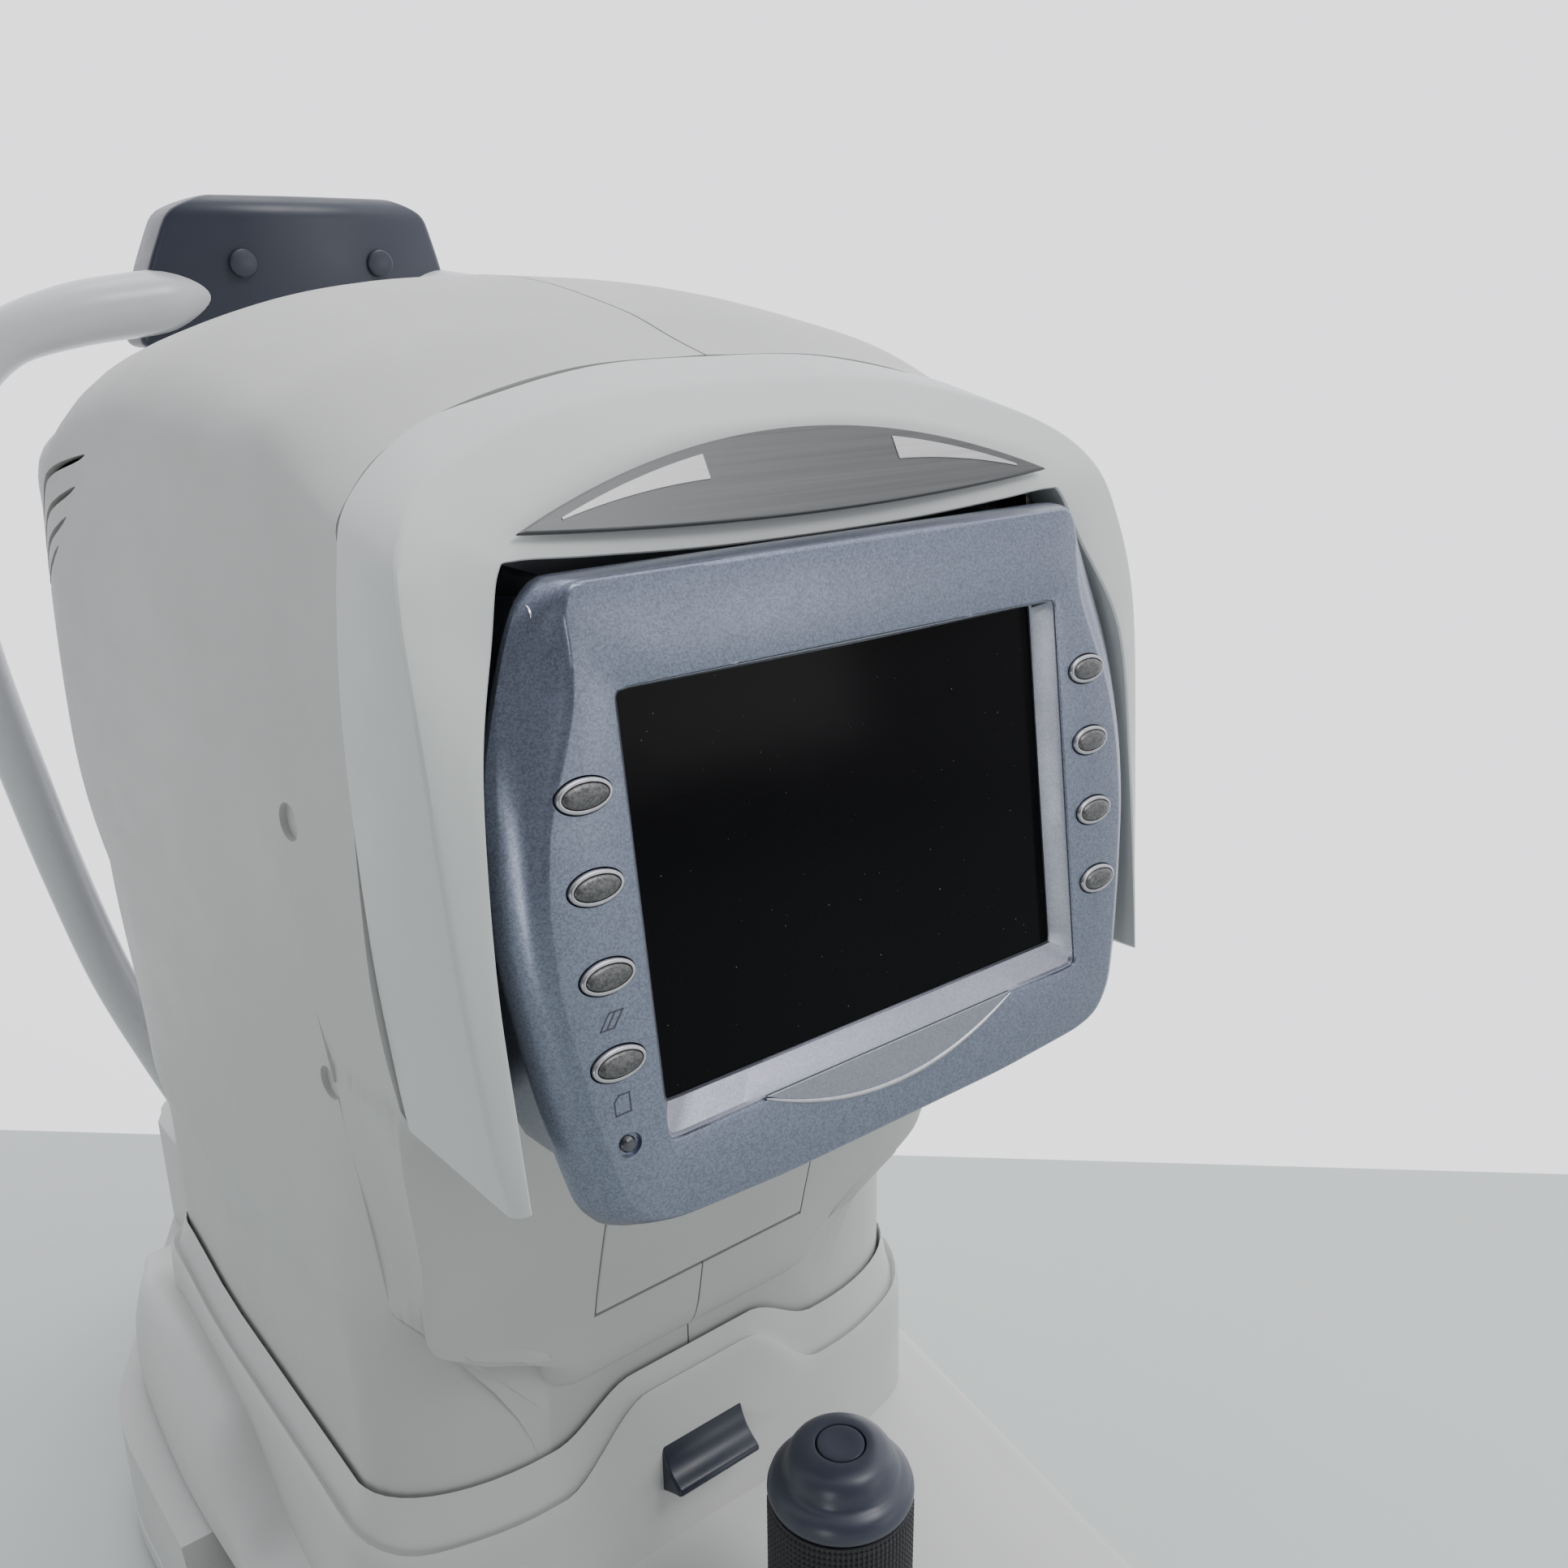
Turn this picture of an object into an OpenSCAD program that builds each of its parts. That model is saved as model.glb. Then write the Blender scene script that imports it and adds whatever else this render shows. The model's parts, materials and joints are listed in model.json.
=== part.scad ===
// Table-top eye-pressure meter with a tilting display, a joystick stage and a chin and forehead rest.
// X = 0 is the plane of symmetry, the operator sits at -Y, the patient at +Y, and Z = 0 is the table.

/* [Base] */
// Width of the fixed base
base_w = 260; // [250:1:266]
// Depth of the fixed base, which is the depth of the whole instrument
base_d = 495; // [493:1:500]
// Height of the flat part of the base
slab_top = 12; // [11:0.5:12]
// Height of the base at its fenders
fender_top = 48; // [46:0.5:48]
// Height of the rubber feet
foot_h = 4; // [4:0.5:5]
// Wall of the moulded covers
wall = 3; // [2.5:0.1:3.2]

/* [Stage] */
// Half width of the stage cover at its lower edge
stage_half_w = 118; // [114:1:119]
// Height of the stage cover's edge over the flat part of the base
stage_edge_z = 14; // [14:0.5:16]
// Diameter of the cross axle
axle_d = 12; // [10:1:12]
// Height of the cross axle
axle_z = 36; // [36:0.5:37]
// Place of the cross axle along the base
axle_y = -10; // [-11:1:-9]

/* [Head] */
// Height of the crown of the head
head_top = 431.4; // [428:0.2:432]
// Place of the seam between hood and casings at the sides
seam_y = -90; // [-91:0.5:-89]
// Gap left between casing parts
seam_gap = 0.4; // [0.3:0.1:0.6]

/* [Display] */
// Place of the middle of the screen
screen_y = -137.5; // [-138:0.5:-137]
// Height of the middle of the screen
screen_z = 313; // [312:0.5:314]
// Lean of the display
lean = 8; // [7:0.5:9]
// Width of the visible screen
screen_w = 118.5; // [115:0.5:119]
// Height of the visible screen
screen_h = 87; // [84:0.5:88]
// Length of an oval key
key_w = 12.5; // [11:0.5:13]
// Height of an oval key
key_h = 7; // [6:0.5:7.5]
// Distance of the key columns from the middle
key_u = 72.3; // [72:0.1:73]
// Distance from key to key
key_pitch = 18; // [17:0.5:19]

/* [Joystick] */
// Diameter of the joystick's height ring
knob_d = 40; // [36:1:40]
// Height of the top of the joystick
knob_top = 136.5; // [134:0.5:138]
// Place of the joystick
stick_y = -126; // [-127:0.5:-125]
// Diameter of the start button
start_d = 13; // [11:0.5:14]

/* [Patient rests] */
// Highest point of the forehead pad
pad_top = 457; // [455:1:458]
// Height of the chin cup's rest surface
chin_z = 240; // [238:1:242]

/* [Hidden] */
$fn = 48;

white = [0.86, 0.86, 0.84];
slate = [0.25, 0.27, 0.33];
steel = [0.6, 0.61, 0.63];
dark = [0.12, 0.12, 0.13];

half_w = base_w / 2;
front_y = -base_d / 2;
rear_y = base_d / 2;
block_front_y = 188;
block_half_w = 72;
block_top = 95;
cover_front_y = 30;
cover_step_y = 45;
rack_x = 64;
rack_w = 7;
tooth_pitch = 3.14159;
pitch_r = 10;
teeth = 20;
rack_top = axle_z - pitch_r - 1.25;
block_x = 55.25;
bush_half = 8;
running = 0.05;
plate_z = 52;
plate_t = 3;
guide_x = 50;
guide_y = 20;
guide_d = 12;
screw_y = -45;
screw_d = 10;
pivot_z = 34;
dome_r = 26;
nozzle_z = 335;
hinge_v = 59;
hinge_n = -7;
hinge_y = screen_y + hinge_v * sin(lean) - hinge_n * cos(lean);
hinge_z = screen_z + hinge_v * cos(lean) + hinge_n * sin(lean);
taper_start = [122.2, 136.6];
taper_turn = 27.8;
switch_place = 26.4;
inlet_place = 60.3;
io_place = 42;
wall_part_z = 28;
cylinder_z = 286;
side_screws = [[-58, 318], [-52, 249]];
screw_spots_x = [-40, 40];
screw_spots_y = [201, 237];
lip_u = 62.7;
lip_v_top = 43.5;
lip_v_low = -49.5;
screen_depth = 6;
bezel_back = -10;

// ---------- shared shapes ----------

// Points on an arc, from angle a0 to a1
function arc(cx, cy, r, a0, a1, n) =
  [for (i = [0:n]) let (a = a0 + (a1 - a0) * i / n) [cx + r * cos(a), cy + r * sin(a)]];

// The other half of an outline, mirrored in the first coordinate
function other_half(pts) = [for (i = [len(pts) - 1:-1:0]) [-pts[i][0], pts[i][1]]];

function mix(a, b, t) = a + (b - a) * t;
function clamp01(t) = max(0, min(1, t));
function ease(t) = let (s = clamp01(t)) s * s * (3 - 2 * s);

// A closed solid through rings of points that all have the same number of points
module loft(rings) {
  n = len(rings[0]);
  m = len(rings);
  sides = [
    for (j = [0:m - 2], i = [0:n - 1])
      let (a = j * n + i, b = j * n + (i + 1) % n)
      each [[a, b + n, b], [a, a + n, b + n]]
  ];
  first_cap = [for (i = [0:n - 1]) i];
  last_cap = [for (i = [n - 1:-1:0]) (m - 1) * n + i];
  polyhedron([for (r = rings) each r], concat([first_cap], sides, [last_cap]));
}

// A shape given in X and Z, extruded along Y from y0 to y1
module along_y(y0, y1) {
  translate([0, y1, 0])
    rotate([90, 0, 0])
      linear_extrude(y1 - y0)
        children();
}

// A shape given in Y and Z, extruded along X from x0 to x1
module along_x(x0, x1) {
  translate([x0, 0, 0])
    rotate([90, 0, 90])
      linear_extrude(x1 - x0)
        children();
}

// A moulded body kept as one skin of flat facets
module one_skin() {
  resize([0, 0, 0])
    children();
}

module box(lo, hi) {
  translate(lo)
    cube([hi[0] - lo[0], hi[1] - lo[1], hi[2] - lo[2]]);
}

module both_sides() {
  children();
  mirror([1, 0, 0])
    children();
}

module rod_y(x, z, d, y0, y1) {
  translate([x, y1, z])
    rotate([90, 0, 0])
      cylinder(d = d, h = y1 - y0);
}

module rod_x(y, z, d, x0, x1) {
  translate([x0, y, z])
    rotate([0, 90, 0])
      cylinder(d = d, h = x1 - x0);
}

// ---------- base ----------

// Plan outline of the base, drawn in by inset
function base_half_plan(inset) = concat(
  [[0, front_y + inset]],
  arc(half_w - 34, front_y + 34, 34 - inset, -90, 0, 6),
  [[half_w - inset, 100]],
  arc(half_w - 90, 100, 90 - inset, 8, 24, 3),
  arc(block_half_w - 18, rear_y - 18, 18 - inset, 10, 90, 5),
  [[0, rear_y - inset]]
);

module base_plan(inset) {
  half = base_half_plan(inset);
  inner = [for (i = [1:len(half) - 2]) half[i]];
  polygon(concat(inner, other_half(inner)));
}

// Places parts on the tapering right wall of the base: X points out of the wall and Y runs along it
module on_taper(distance) {
  translate([taper_start[0], taper_start[1], wall_part_z])
    rotate([0, 0, taper_turn])
      translate([0, distance, 0])
        children();
}

module base_tray() {
  color(white)
    difference() {
      translate([0, 0, foot_h])
        linear_extrude(slab_top - foot_h)
          base_plan(0);
      difference() {
        translate([0, 0, foot_h - 1])
          linear_extrude(slab_top - wall - foot_h + 1)
            base_plan(wall + 1);
        for (x = [-1, 1], y = [front_y + 34, rear_y - 34])
          translate([x * 52, y, 0])
            cylinder(d = 24, h = slab_top);
      }
    }
}

module rubber_feet() {
  color(dark)
    for (x = [-1, 1], y = [front_y + 34, rear_y - 34])
      translate([x * 52, y, 0])
        cylinder(d = 20, h = foot_h);
}

// Side outline of the base cover over the slab, drawn in by inset
module base_cover_side(inset) {
  polygon([
    [cover_front_y + inset * 1.5, slab_top + (inset > 0 ? -1 : 0.02)],
    [cover_step_y + inset, fender_top - inset],
    [block_front_y + inset, fender_top - inset],
    [block_front_y + 4 + inset, block_top - inset],
    [rear_y, block_top - inset],
    [rear_y, slab_top + (inset > 0 ? -1 : 0.02)]
  ]);
}

module block_limit(inset) {
  box([-block_half_w - 2 + inset, block_front_y - 1, 0], [block_half_w + 2 - inset, rear_y, block_top + 1]);
  box([-half_w, cover_front_y - 1, 0], [half_w, rear_y, fender_top - inset + 0.01]);
}

module base_cover_solid(inset) {
  intersection() {
    along_x(-half_w, half_w)
      base_cover_side(inset);
    translate([0, 0, slab_top - 2])
      linear_extrude(block_top)
        base_plan(inset == 0 ? 0.6 : inset + 0.6);
    block_limit(inset);
  }
}

module base_cover() {
  color(white)
    difference() {
      base_cover_solid(0);
      base_cover_solid(wall);
      box([half_w - 8, 50, 15], [half_w + 1, 104, 44.2]);
      mirror([1, 0, 0])
        on_taper(io_place)
          box([-7, -17, -10], [3, 17, 10]);
      on_taper(switch_place)
        box([-7, -7, -10.3], [3, 7, 10.3]);
      on_taper(inlet_place)
        box([-7, -13.3, -9.3], [3, 13.3, 9.3]);
      for (s = [-1, 1])
        translate([s * 58, 206, fender_top + 20])
          cylinder(d = 20, h = 40);
      box([-26.3, 197.7, block_top - 8], [26.3, 236.3, block_top + 1]);
      for (x = screw_spots_x, y = screw_spots_y)
        translate([x, y, block_top - 8]) {
          cylinder(d = 3.7, h = 10);
          translate([0, 0, 6.8])
            cylinder(d = 7.3, h = 3);
        }
    }
}

module cover_screws() {
  color(steel)
    for (x = screw_spots_x, y = screw_spots_y)
      translate([x, y, block_top - 1.2]) {
        cylinder(d = 7, h = 1.5);
        translate([0, 0, -7])
          cylinder(d = 3.5, h = 8);
      }
}

module y_racks() {
  color(steel)
    both_sides()
      along_x(rack_x - rack_w / 2, rack_x + rack_w / 2)
        union() {
          translate([axle_y - 30, slab_top])
            square([60, rack_top - slab_top]);
          for (i = [0:15])
            translate([axle_y + (i - 7.5) * tooth_pitch, rack_top])
              polygon([[-1.05, -0.2], [-0.4, 1.95], [0.4, 1.95], [1.05, -0.2]]);
        }
}

module power_supply() {
  color([0.45, 0.46, 0.44])
    difference() {
      box([-50, 78, slab_top + 1], [40, 168, 42]);
      for (i = [0:6])
        box([-40, 88 + i * 11, 40], [30, 92 + i * 11, 43]);
    }
}

module power_inlet() {
  on_taper(inlet_place) {
    color(dark)
      difference() {
        union() {
          box([-17, -13, -9], [-0.4, 13, 9]);
          box([-0.5, -15.5, -11.5], [1.5, 15.5, 11.5]);
        }
        box([-14, -9, -5.5], [2, 9, 5.5]);
      }
    color(steel)
      for (i = [-1, 0, 1])
        translate([-14.5, i * 5, i == 0 ? 2 : -1.5])
          rotate([0, 90, 0])
            cylinder(d = 2, h = 8);
  }
}

module io_panel() {
  color(steel)
    mirror([1, 0, 0])
      on_taper(io_place)
        difference() {
          union() {
            box([-0.5, -19.5, -12], [0.9, 19.5, 12]);
            box([-13, -15.5, -7.5], [-0.4, -0.5, 7.5]);
            box([-13, 2, -5.5], [-0.4, 15, 5.5]);
          }
          box([-11, -14, -6], [2, -2, 6]);
          box([-11, 3.5, -4], [2, 13.5, 4]);
        }
}

// ---------- chin and forehead rest ----------

module chin_housing() {
  color(white)
    difference() {
      hull()
        for (x = [-1, 1], y = [204, 230])
          translate([x * 20, y, block_top - 7])
            cylinder(d = 12, h = 185 - block_top + 7, $fn = 32);
      box([-22, 201, block_top - 8], [22, 233, 181]);
      translate([0, 217, 170])
        cylinder(d = 22.6, h = 30);
    }
}

module chin_actuator() {
  color([0.35, 0.36, 0.38]) {
    box([-17, 202, slab_top + 0.02], [17, 232, 97]);
    box([-26, 198, 82], [26, 236, 87.9]);
    translate([0, 217, 96.9])
      cylinder(d = 6, h = 71);
  }
}

module chin_post() {
  color(steel)
    translate([0, 217, 130])
      difference() {
        cylinder(d = 22, h = chin_z - 150);
        translate([0, 0, -1])
          cylinder(d = 6.6, h = 80);
      }
}

// Shallow cradle for the chin, open towards the patient and towards the instrument
module chin_cup() {
  color([0.9, 0.9, 0.88])
    union() {
      translate([0, 214, chin_z - 20])
        cylinder(d = 40, h = 9);
      along_y(190, 238)
        polygon(concat(arc(0, chin_z + 38, 50, -140, -40, 14), arc(0, chin_z + 38, 44, -40, -140, 14)));
      along_y(196, 232)
        polygon([[-24, chin_z - 5.5], [-19, chin_z - 12], [19, chin_z - 12], [24, chin_z - 5.5]]);
    }
}

// Centre line of the forehead frame: an oval loop that leans away from the head towards its feet
arch_half = [
  [0, 426], [30, 426.5], [52, 424], [76, 420.5], [97, 413], [111, 397], [118, 374], [119.5, 345],
  [116, 312], [108, 268], [100, 228], [89, 182], [75, 140], [60, 100]
];
function arch_y(z) = 152 + (434 - z) * 0.165;
function arch_r(z) = lookup(z, [[80, 8], [260, 7.5], [380, 7.5], [414, 8.5], [424, 10]]);
function arch_point(i) = let (p = arch_half[i]) [p[0], arch_y(p[1]), p[1]];

function arch_ring(i, grow = 0) =
  let (
    last = len(arch_half) - 1,
    d = arch_point(min(i + 1, last)) - arch_point(max(i - 1, 0)),
    along = (i == 0 ? [1, 0, 0] : d / norm(d)),
    side = [0, 1, 0],
    up = cross(side, along) / norm(cross(side, along)),
    r = arch_r(arch_half[i][1]) + grow
  )
  [for (k = [0:11]) arch_point(i) + r * cos(k * 30) * cross(along, up) + r * sin(k * 30) * up];

module forehead_frame() {
  color([0.9, 0.9, 0.9]) {
    both_sides()
      loft([for (i = [len(arch_half) - 1:-1:0]) arch_ring(i)]);
    both_sides()
      translate([58, 206, 76])
        cylinder(d = 19.6, h = 30);
  }
}

// Half width of the pad at height z, and the curve of its faces at distance x from the middle
function pad_half_w(z) = lookup(z, [[410, 56], [426, 53.5], [445, 47], [452, 43.5], [pad_top, 34]]);
function pad_bow(x) = 9 * x * x / 2500;
function pad_ring(z, thin) =
  let (
    w = pad_half_w(z),
    back = 142.5 - (z < 420 ? 0 : (z - 420) * 0.05) + thin,
    face = 158.5 + (pad_top - z) * 0.06 - thin,
    n = 8
  )
  concat(
    [for (i = [-n:n]) let (x = w * i / n) [x, back + pad_bow(x), z]],
    [for (i = [n:-1:-n]) let (x = (w - 1) * i / n) [x, face + pad_bow(x), z]]
  );

module forehead_pad() {
  color(slate)
    one_skin()
      difference() {
        loft([for (s = [[410, 4], [414, 0], [430, 0], [445, 0], [452, 1.5], [pad_top, 5]]) pad_ring(s[0], s[1])]);
        for (s = [-1, 1])
          rod_y(s * 23.6, 436, 9.4, 130, 143.6);
        for (m = [0, 1])
          mirror([m, 0, 0])
            loft([for (i = [7:-1:0]) [for (p = arch_ring(i, 1)) p + (i == 0 ? [-1, 0, 0] : [0, 0, 0])]]);
      }
}

module pad_plugs() {
  color(slate)
    for (s = [-1, 1])
      rod_y(s * 23.6, 436, 9, 141.6, 143.4);
}

// ---------- printer, switch ----------

module printer_unit() {
  color([0.3, 0.31, 0.33])
    difference() {
      box([72, 52, slab_top + 1], [121, 103, 45 - 0.6]);
      rod_y(100, 29, 33, 54, 101);
      box([99, 54, 14], [122, 101, 46]);
    }
}

module paper_roll() {
  color([0.93, 0.93, 0.92])
    difference() {
      rod_y(100, 29, 28, 56, 99);
      rod_y(100, 29, 10, 55, 100);
    }
}

module printer_door() {
  color(white)
    difference() {
      union() {
        box([half_w - 3.6, 50.5, 17.7], [half_w - 0.6, 103.5, 43.7]);
        rod_y(half_w - 2.1, 17.7, 3, 50.5, 103.5);
      }
      box([half_w - 1.4, 62, 39], [half_w, 92, 41]);
    }
}

module power_switch() {
  color(dark)
    on_taper(switch_place) {
      along_y(-6.5, 6.5)
        polygon([[-5, -7], [-1, -9.5], [0.6, -9.2], [0.6, 0], [3.4, 9.2], [-1, 9.5], [-5, 7]]);
      rod_y(-1, 0, 1.2, -6.8, 6.8);
    }
}

// ---------- cross axle ----------

module bearing_blocks() {
  color([0.4, 0.41, 0.43])
    difference() {
      union() {
        both_sides()
          box([block_x - 3.25, axle_y - 15, slab_top + 0.4], [block_x + 3.25, axle_y + 15, axle_z + 9]);
        box([-block_x, axle_y - 15, slab_top + 0.4], [block_x, axle_y + 15, slab_top + 5]);
      }
      rod_x(axle_y, axle_z, axle_d + 2 * running, -block_x - 5, block_x + 5);
    }
}

module cross_axle() {
  color(steel)
    rod_x(axle_y, axle_z, axle_d, -rack_x - 4.5, rack_x + 4.5);
}

module pinions() {
  color([0.7, 0.6, 0.35])
    both_sides()
      translate([rack_x - 3.5, axle_y, axle_z])
        rotate([90, 0, 90])
          difference() {
            union() {
              cylinder(r = 8.7, h = 7);
              linear_extrude(7)
                for (i = [0:teeth - 1])
                  rotate(i * 360 / teeth)
                    polygon([[8, -0.95], [10.85, -0.3], [10.85, 0.3], [8, 0.95]]);
            }
            translate([0, 0, -1])
              cylinder(d = axle_d, h = 9);
          }
}

// ---------- stage ----------

module stage_plate() {
  front_z = 28;
  color([0.5, 0.51, 0.52])
    difference() {
      union() {
        box([-98, 12, plate_z], [98, 150, plate_z + plate_t]);
        box([-84, -31, plate_z], [84, 12.1, plate_z + plate_t]);
        box([-60, -31, front_z], [60, -28, plate_z + 1]);
        box([-60, -100, front_z], [60, -28, front_z + plate_t]);
        box([-42, -148, front_z], [42, -99, front_z + plate_t]);
        for (s = [-1, 1])
          box([s * 19 - 2, stick_y - 7, front_z + 1], [s * 19 + 2, stick_y + 7, 40]);
      }
      rod_x(stick_y, pivot_z, 4 + 2 * running, -22, 22);
      translate([0, stick_y, 0])
        cylinder(d = 33, h = 36);
      for (s = [-1, 1])
        translate([s * guide_x, guide_y, plate_z - 1])
          cylinder(d = guide_d, h = plate_t + 2);
    }
}

module bush_housing() {
  color([0.66, 0.67, 0.68])
    difference() {
      box([-bush_half, axle_y - 13, axle_z - 12], [bush_half, axle_y + 13, plate_z]);
      rod_x(axle_y, axle_z, axle_d + 2 * running, -bush_half - 1, bush_half + 1);
    }
}

// Half widths and heights of the stage cover along Y
function deck_mid_z(y) = lookup(y, [[-192, 27], [-180, 31], [-126, 45], [-59, 61], [-20, 72], [30, 84], [162, 80]]);
function deck_edge_z(y) =
  lookup(y, [[-192, 17.5], [-186, 19], [-141, 27], [-83, 41], [-16, 56], [9, 61], [24, 72], [48, 89], [80, 92],
    [127, 88], [162, 78]]);
function deck_ridge_x(y) = lookup(y, [[-192, 100], [-186, 110], [-150, 114], [-16, 114], [24, 110], [127, 108], [162, 100]]);
function deck_low_x(y) =
  lookup(y, [[-192, 102], [-186, 112], [-170, 117], [-10, stage_half_w], [60, stage_half_w + 2], [127, 116], [162, 103]]);
function deck_low_z(y) = lookup(y, [[-12, stage_edge_z], [8, fender_top + 2], [162, fender_top + 2]]);

function deck_ring(y, t) =
  let (
    xr = deck_ridge_x(y) - t,
    xl = deck_low_x(y) - t,
    zm = deck_mid_z(y) - t,
    ze = deck_edge_z(y) - t,
    zl = deck_low_z(y) - (t > 0 ? 1 : 0),
    half = [
      [xr * 0.35, mix(zm, ze, 0.12)], [xr * 0.7, mix(zm, ze, 0.5)], [xr * 0.92, mix(zm, ze, 0.86)], [xr, ze],
      [xr + (xl - xr) * 0.7, mix(ze, zl, 0.22)], [xl, mix(ze, zl, 0.6)], [xl, zl]
    ]
  )
  [for (p = concat(half, other_half(half))) [p[0], y, p[1]]];

deck_stations = [-192, -186, -170, -141, -110, -83, -59, -30, -12, -2, 8, 24, 36, 48, 80, 110, 135, 150, 162];

module deck_solid(t) {
  inner = [for (y = deck_stations) if (t == 0 || (y > -190 && y < 160)) y];
  loft([for (y = inner) deck_ring(y, t)]);
}

// Plan outline of the neck, grown by g
function neck_half_plan(g) = [
  [51, -56 - g], [82 + g * 0.5, -46.5 - g * 0.9], [95 + g, -31.5 - g * 0.4], [95 + g, 60], [92 + g, 132 + g]
];
module neck_plan(g) {
  polygon(concat(neck_half_plan(g), other_half(neck_half_plan(g))));
}

collar_foot_z = 112;
collar_rim_z = 100;
collar_grow = 8;

function collar_rings() = [
  for (s = [[collar_grow + 1, 58], [collar_grow, collar_rim_z], [1.6, collar_foot_z]])
    [for (p = concat(neck_half_plan(s[0]), other_half(neck_half_plan(s[0])))) [p[0], p[1], s[1]]]
];

// The rounded hump that carries the lock lever, in X and Z
module hump_front(grow) {
  polygon([
    [62 + grow, 40], [57 + grow, 94], [51 + grow, 99], [44 + grow, 105.5], [37 + grow, 114.5 + grow * 0.5],
    [30 + grow, 120 + grow], [20, 123 + grow], [-20, 123 + grow], [-30 - grow, 120 + grow],
    [-37 - grow, 114.5 + grow * 0.5], [-44 - grow, 105.5], [-51 - grow, 99], [-57 - grow, 94], [-62 - grow, 40]
  ]);
}

module stage_cover() {
  color(white)
    one_skin()
    difference() {
      union() {
        difference() {
          deck_solid(0);
          deck_solid(wall);
        }
        difference() {
          union() {
            loft(collar_rings());
            along_y(-62, -50)
              hump_front(0);
          }
          translate([0, 0, 40])
            linear_extrude(plate_z + plate_t - 40)
              neck_plan(4);
          along_y(-59.5, -45)
            hump_front(-4);
        }
      }
      translate([0, 0, plate_z + plate_t])
        linear_extrude(80)
          neck_plan(1.2);
      translate([0, stick_y, pivot_z])
        sphere(r = dome_r + 1.2);
      box([-15.7, -70, 61], [15.7, -58, 107.8]);
    }
}

module lock_lever() {
  color([0.08, 0.11, 0.18]) {
    box([-15.2, -61.2, 79.6], [15.2, -59, 107.2]);
    hull() {
      rod_x(-60.5, 95, 3, -14, 14);
      rod_x(-69.5, 86, 3, -14, 14);
    }
    box([-18.5, -59.2, 80.6], [18.5, -57.5, 104.6]);
  }
}

module z_guides() {
  color(steel)
    for (s = [-1, 1])
      translate([s * guide_x, guide_y, plate_z - 1])
        cylinder(d = guide_d, h = 206);
}

module z_motor() {
  color([0.2, 0.21, 0.22]) {
    box([-17, screw_y - 12, 31.02], [17, screw_y + 11.9, 50]);
    translate([0, screw_y, 49.9])
      cylinder(d = 20, h = 2);
  }
}

module z_screw() {
  color(steel)
    translate([0, screw_y, 52.4])
      difference() {
        cylinder(d = screw_d, h = 170);
        translate([0, 0, 160])
          cylinder(d = 4, h = 11);
      }
}

// ---------- joystick ----------

module gimbal_ring() {
  color(steel)
    difference() {
      union() {
        translate([0, stick_y, pivot_z - 4])
          cylinder(r = 14, h = 8);
        rod_x(stick_y, pivot_z, 4, -20.5, 20.5);
      }
      translate([0, stick_y, pivot_z - 5])
        cylinder(r = 9.5, h = 10);
      rod_y(0, pivot_z, 4 + 2 * running, stick_y - 15, stick_y + 15);
    }
}

module joystick_shaft() {
  color(steel)
    union() {
      translate([0, stick_y, 17])
        cylinder(d = 9, h = knob_top - 26);
      translate([0, stick_y, 20])
        sphere(d = 11);
      rod_y(0, pivot_z, 4, stick_y - 13.5, stick_y + 13.5);
    }
}

module joystick_boot() {
  color(dark)
    translate([0, stick_y, 0])
      rotate_extrude()
        difference() {
          translate([0, pivot_z])
            circle(r = dome_r);
          translate([0, pivot_z])
            circle(r = dome_r - 2.2);
          translate([-50, 0])
            square([50, 100]);
          translate([0, 0])
            square([50, pivot_z + 6]);
          translate([0, 0])
            square([4.6, 100]);
        }
}

ring_low = knob_top - 52.5;
ring_top = knob_top - 16.5;

module knob_ring() {
  color(dark)
    translate([0, stick_y, 0])
      rotate_extrude($fn = 64)
        polygon(concat(
          [[6, ring_low + 1]],
          arc(knob_d / 2 - 7, ring_low + 7, 7, -80, 0, 4),
          [[knob_d / 2, ring_top], [6, ring_top]]
        ));
}

module joystick_cap() {
  color(slate)
    translate([0, stick_y, 0])
      rotate_extrude($fn = 64)
        polygon(concat(
          [[start_d / 2 + 0.3, knob_top - 5], [4.55, knob_top - 5], [4.55, ring_top + 0.3]],
          arc(knob_d / 2 - 1.5, ring_top + 1.6, 1.2, -90, 0, 2),
          [[knob_d / 2 - 0.8, ring_top + 4], [knob_d / 2 - 4.5, ring_top + 7.5]],
          arc(knob_d / 2 - 9.5, ring_top + 11, 4, 0, 80, 4),
          [[start_d / 2 + 0.3, knob_top - 0.2]]
        ));
}

module start_button() {
  color(slate)
    translate([0, stick_y, 0]) {
      translate([0, 0, knob_top - 2.6])
        cylinder(d = start_d, h = 2.6);
      translate([0, 0, knob_top - 6.8])
        cylinder(d = 8, h = 4.3);
    }
}

// ---------- head ----------

function top_z(y) = lookup(y, [[-110, 402], [-90, 409.5], [-77.7, 413], [-41.5, 423], [5.5, head_top - 0.9],
  [27.5, head_top], [60, 428], [85, 420], [108, 405], [120, 394], [132, 378]]);
function upper_w(y) = lookup(y, [[-110, 99.5], [-90, 100], [-40, 103], [20, 106], [90, 107], [118, 104], [132, 97]]);
function chin_w(y) = lookup(y, [[-110, 86], [-75, 87], [-60, 90], [-46, 94], [-31, 96.5], [0, 98], [60, 99], [110, 98],
  [132, 92]]);
function neck_w(y) = lookup(y, [[-110, 60], [-75, 60], [-60, 51], [-56, 51], [-46.5, 82], [-31.5, 95], [60, 95],
  [132, 92]]);
function bottom_z(y) = lookup(y, [[-110, 250], [-88, 246], [-80, 214], [-72, 186], [-66, 162], [-61, 138.5],
  [-57.5, 132], [-56.05, 130.5], [-56, 76], [132, 76]]);
function shoulder_z(y) = top_z(y) - lookup(y, [[-90, 20], [0, 30], [90, 30], [108, 22], [132, 12]]);
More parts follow.
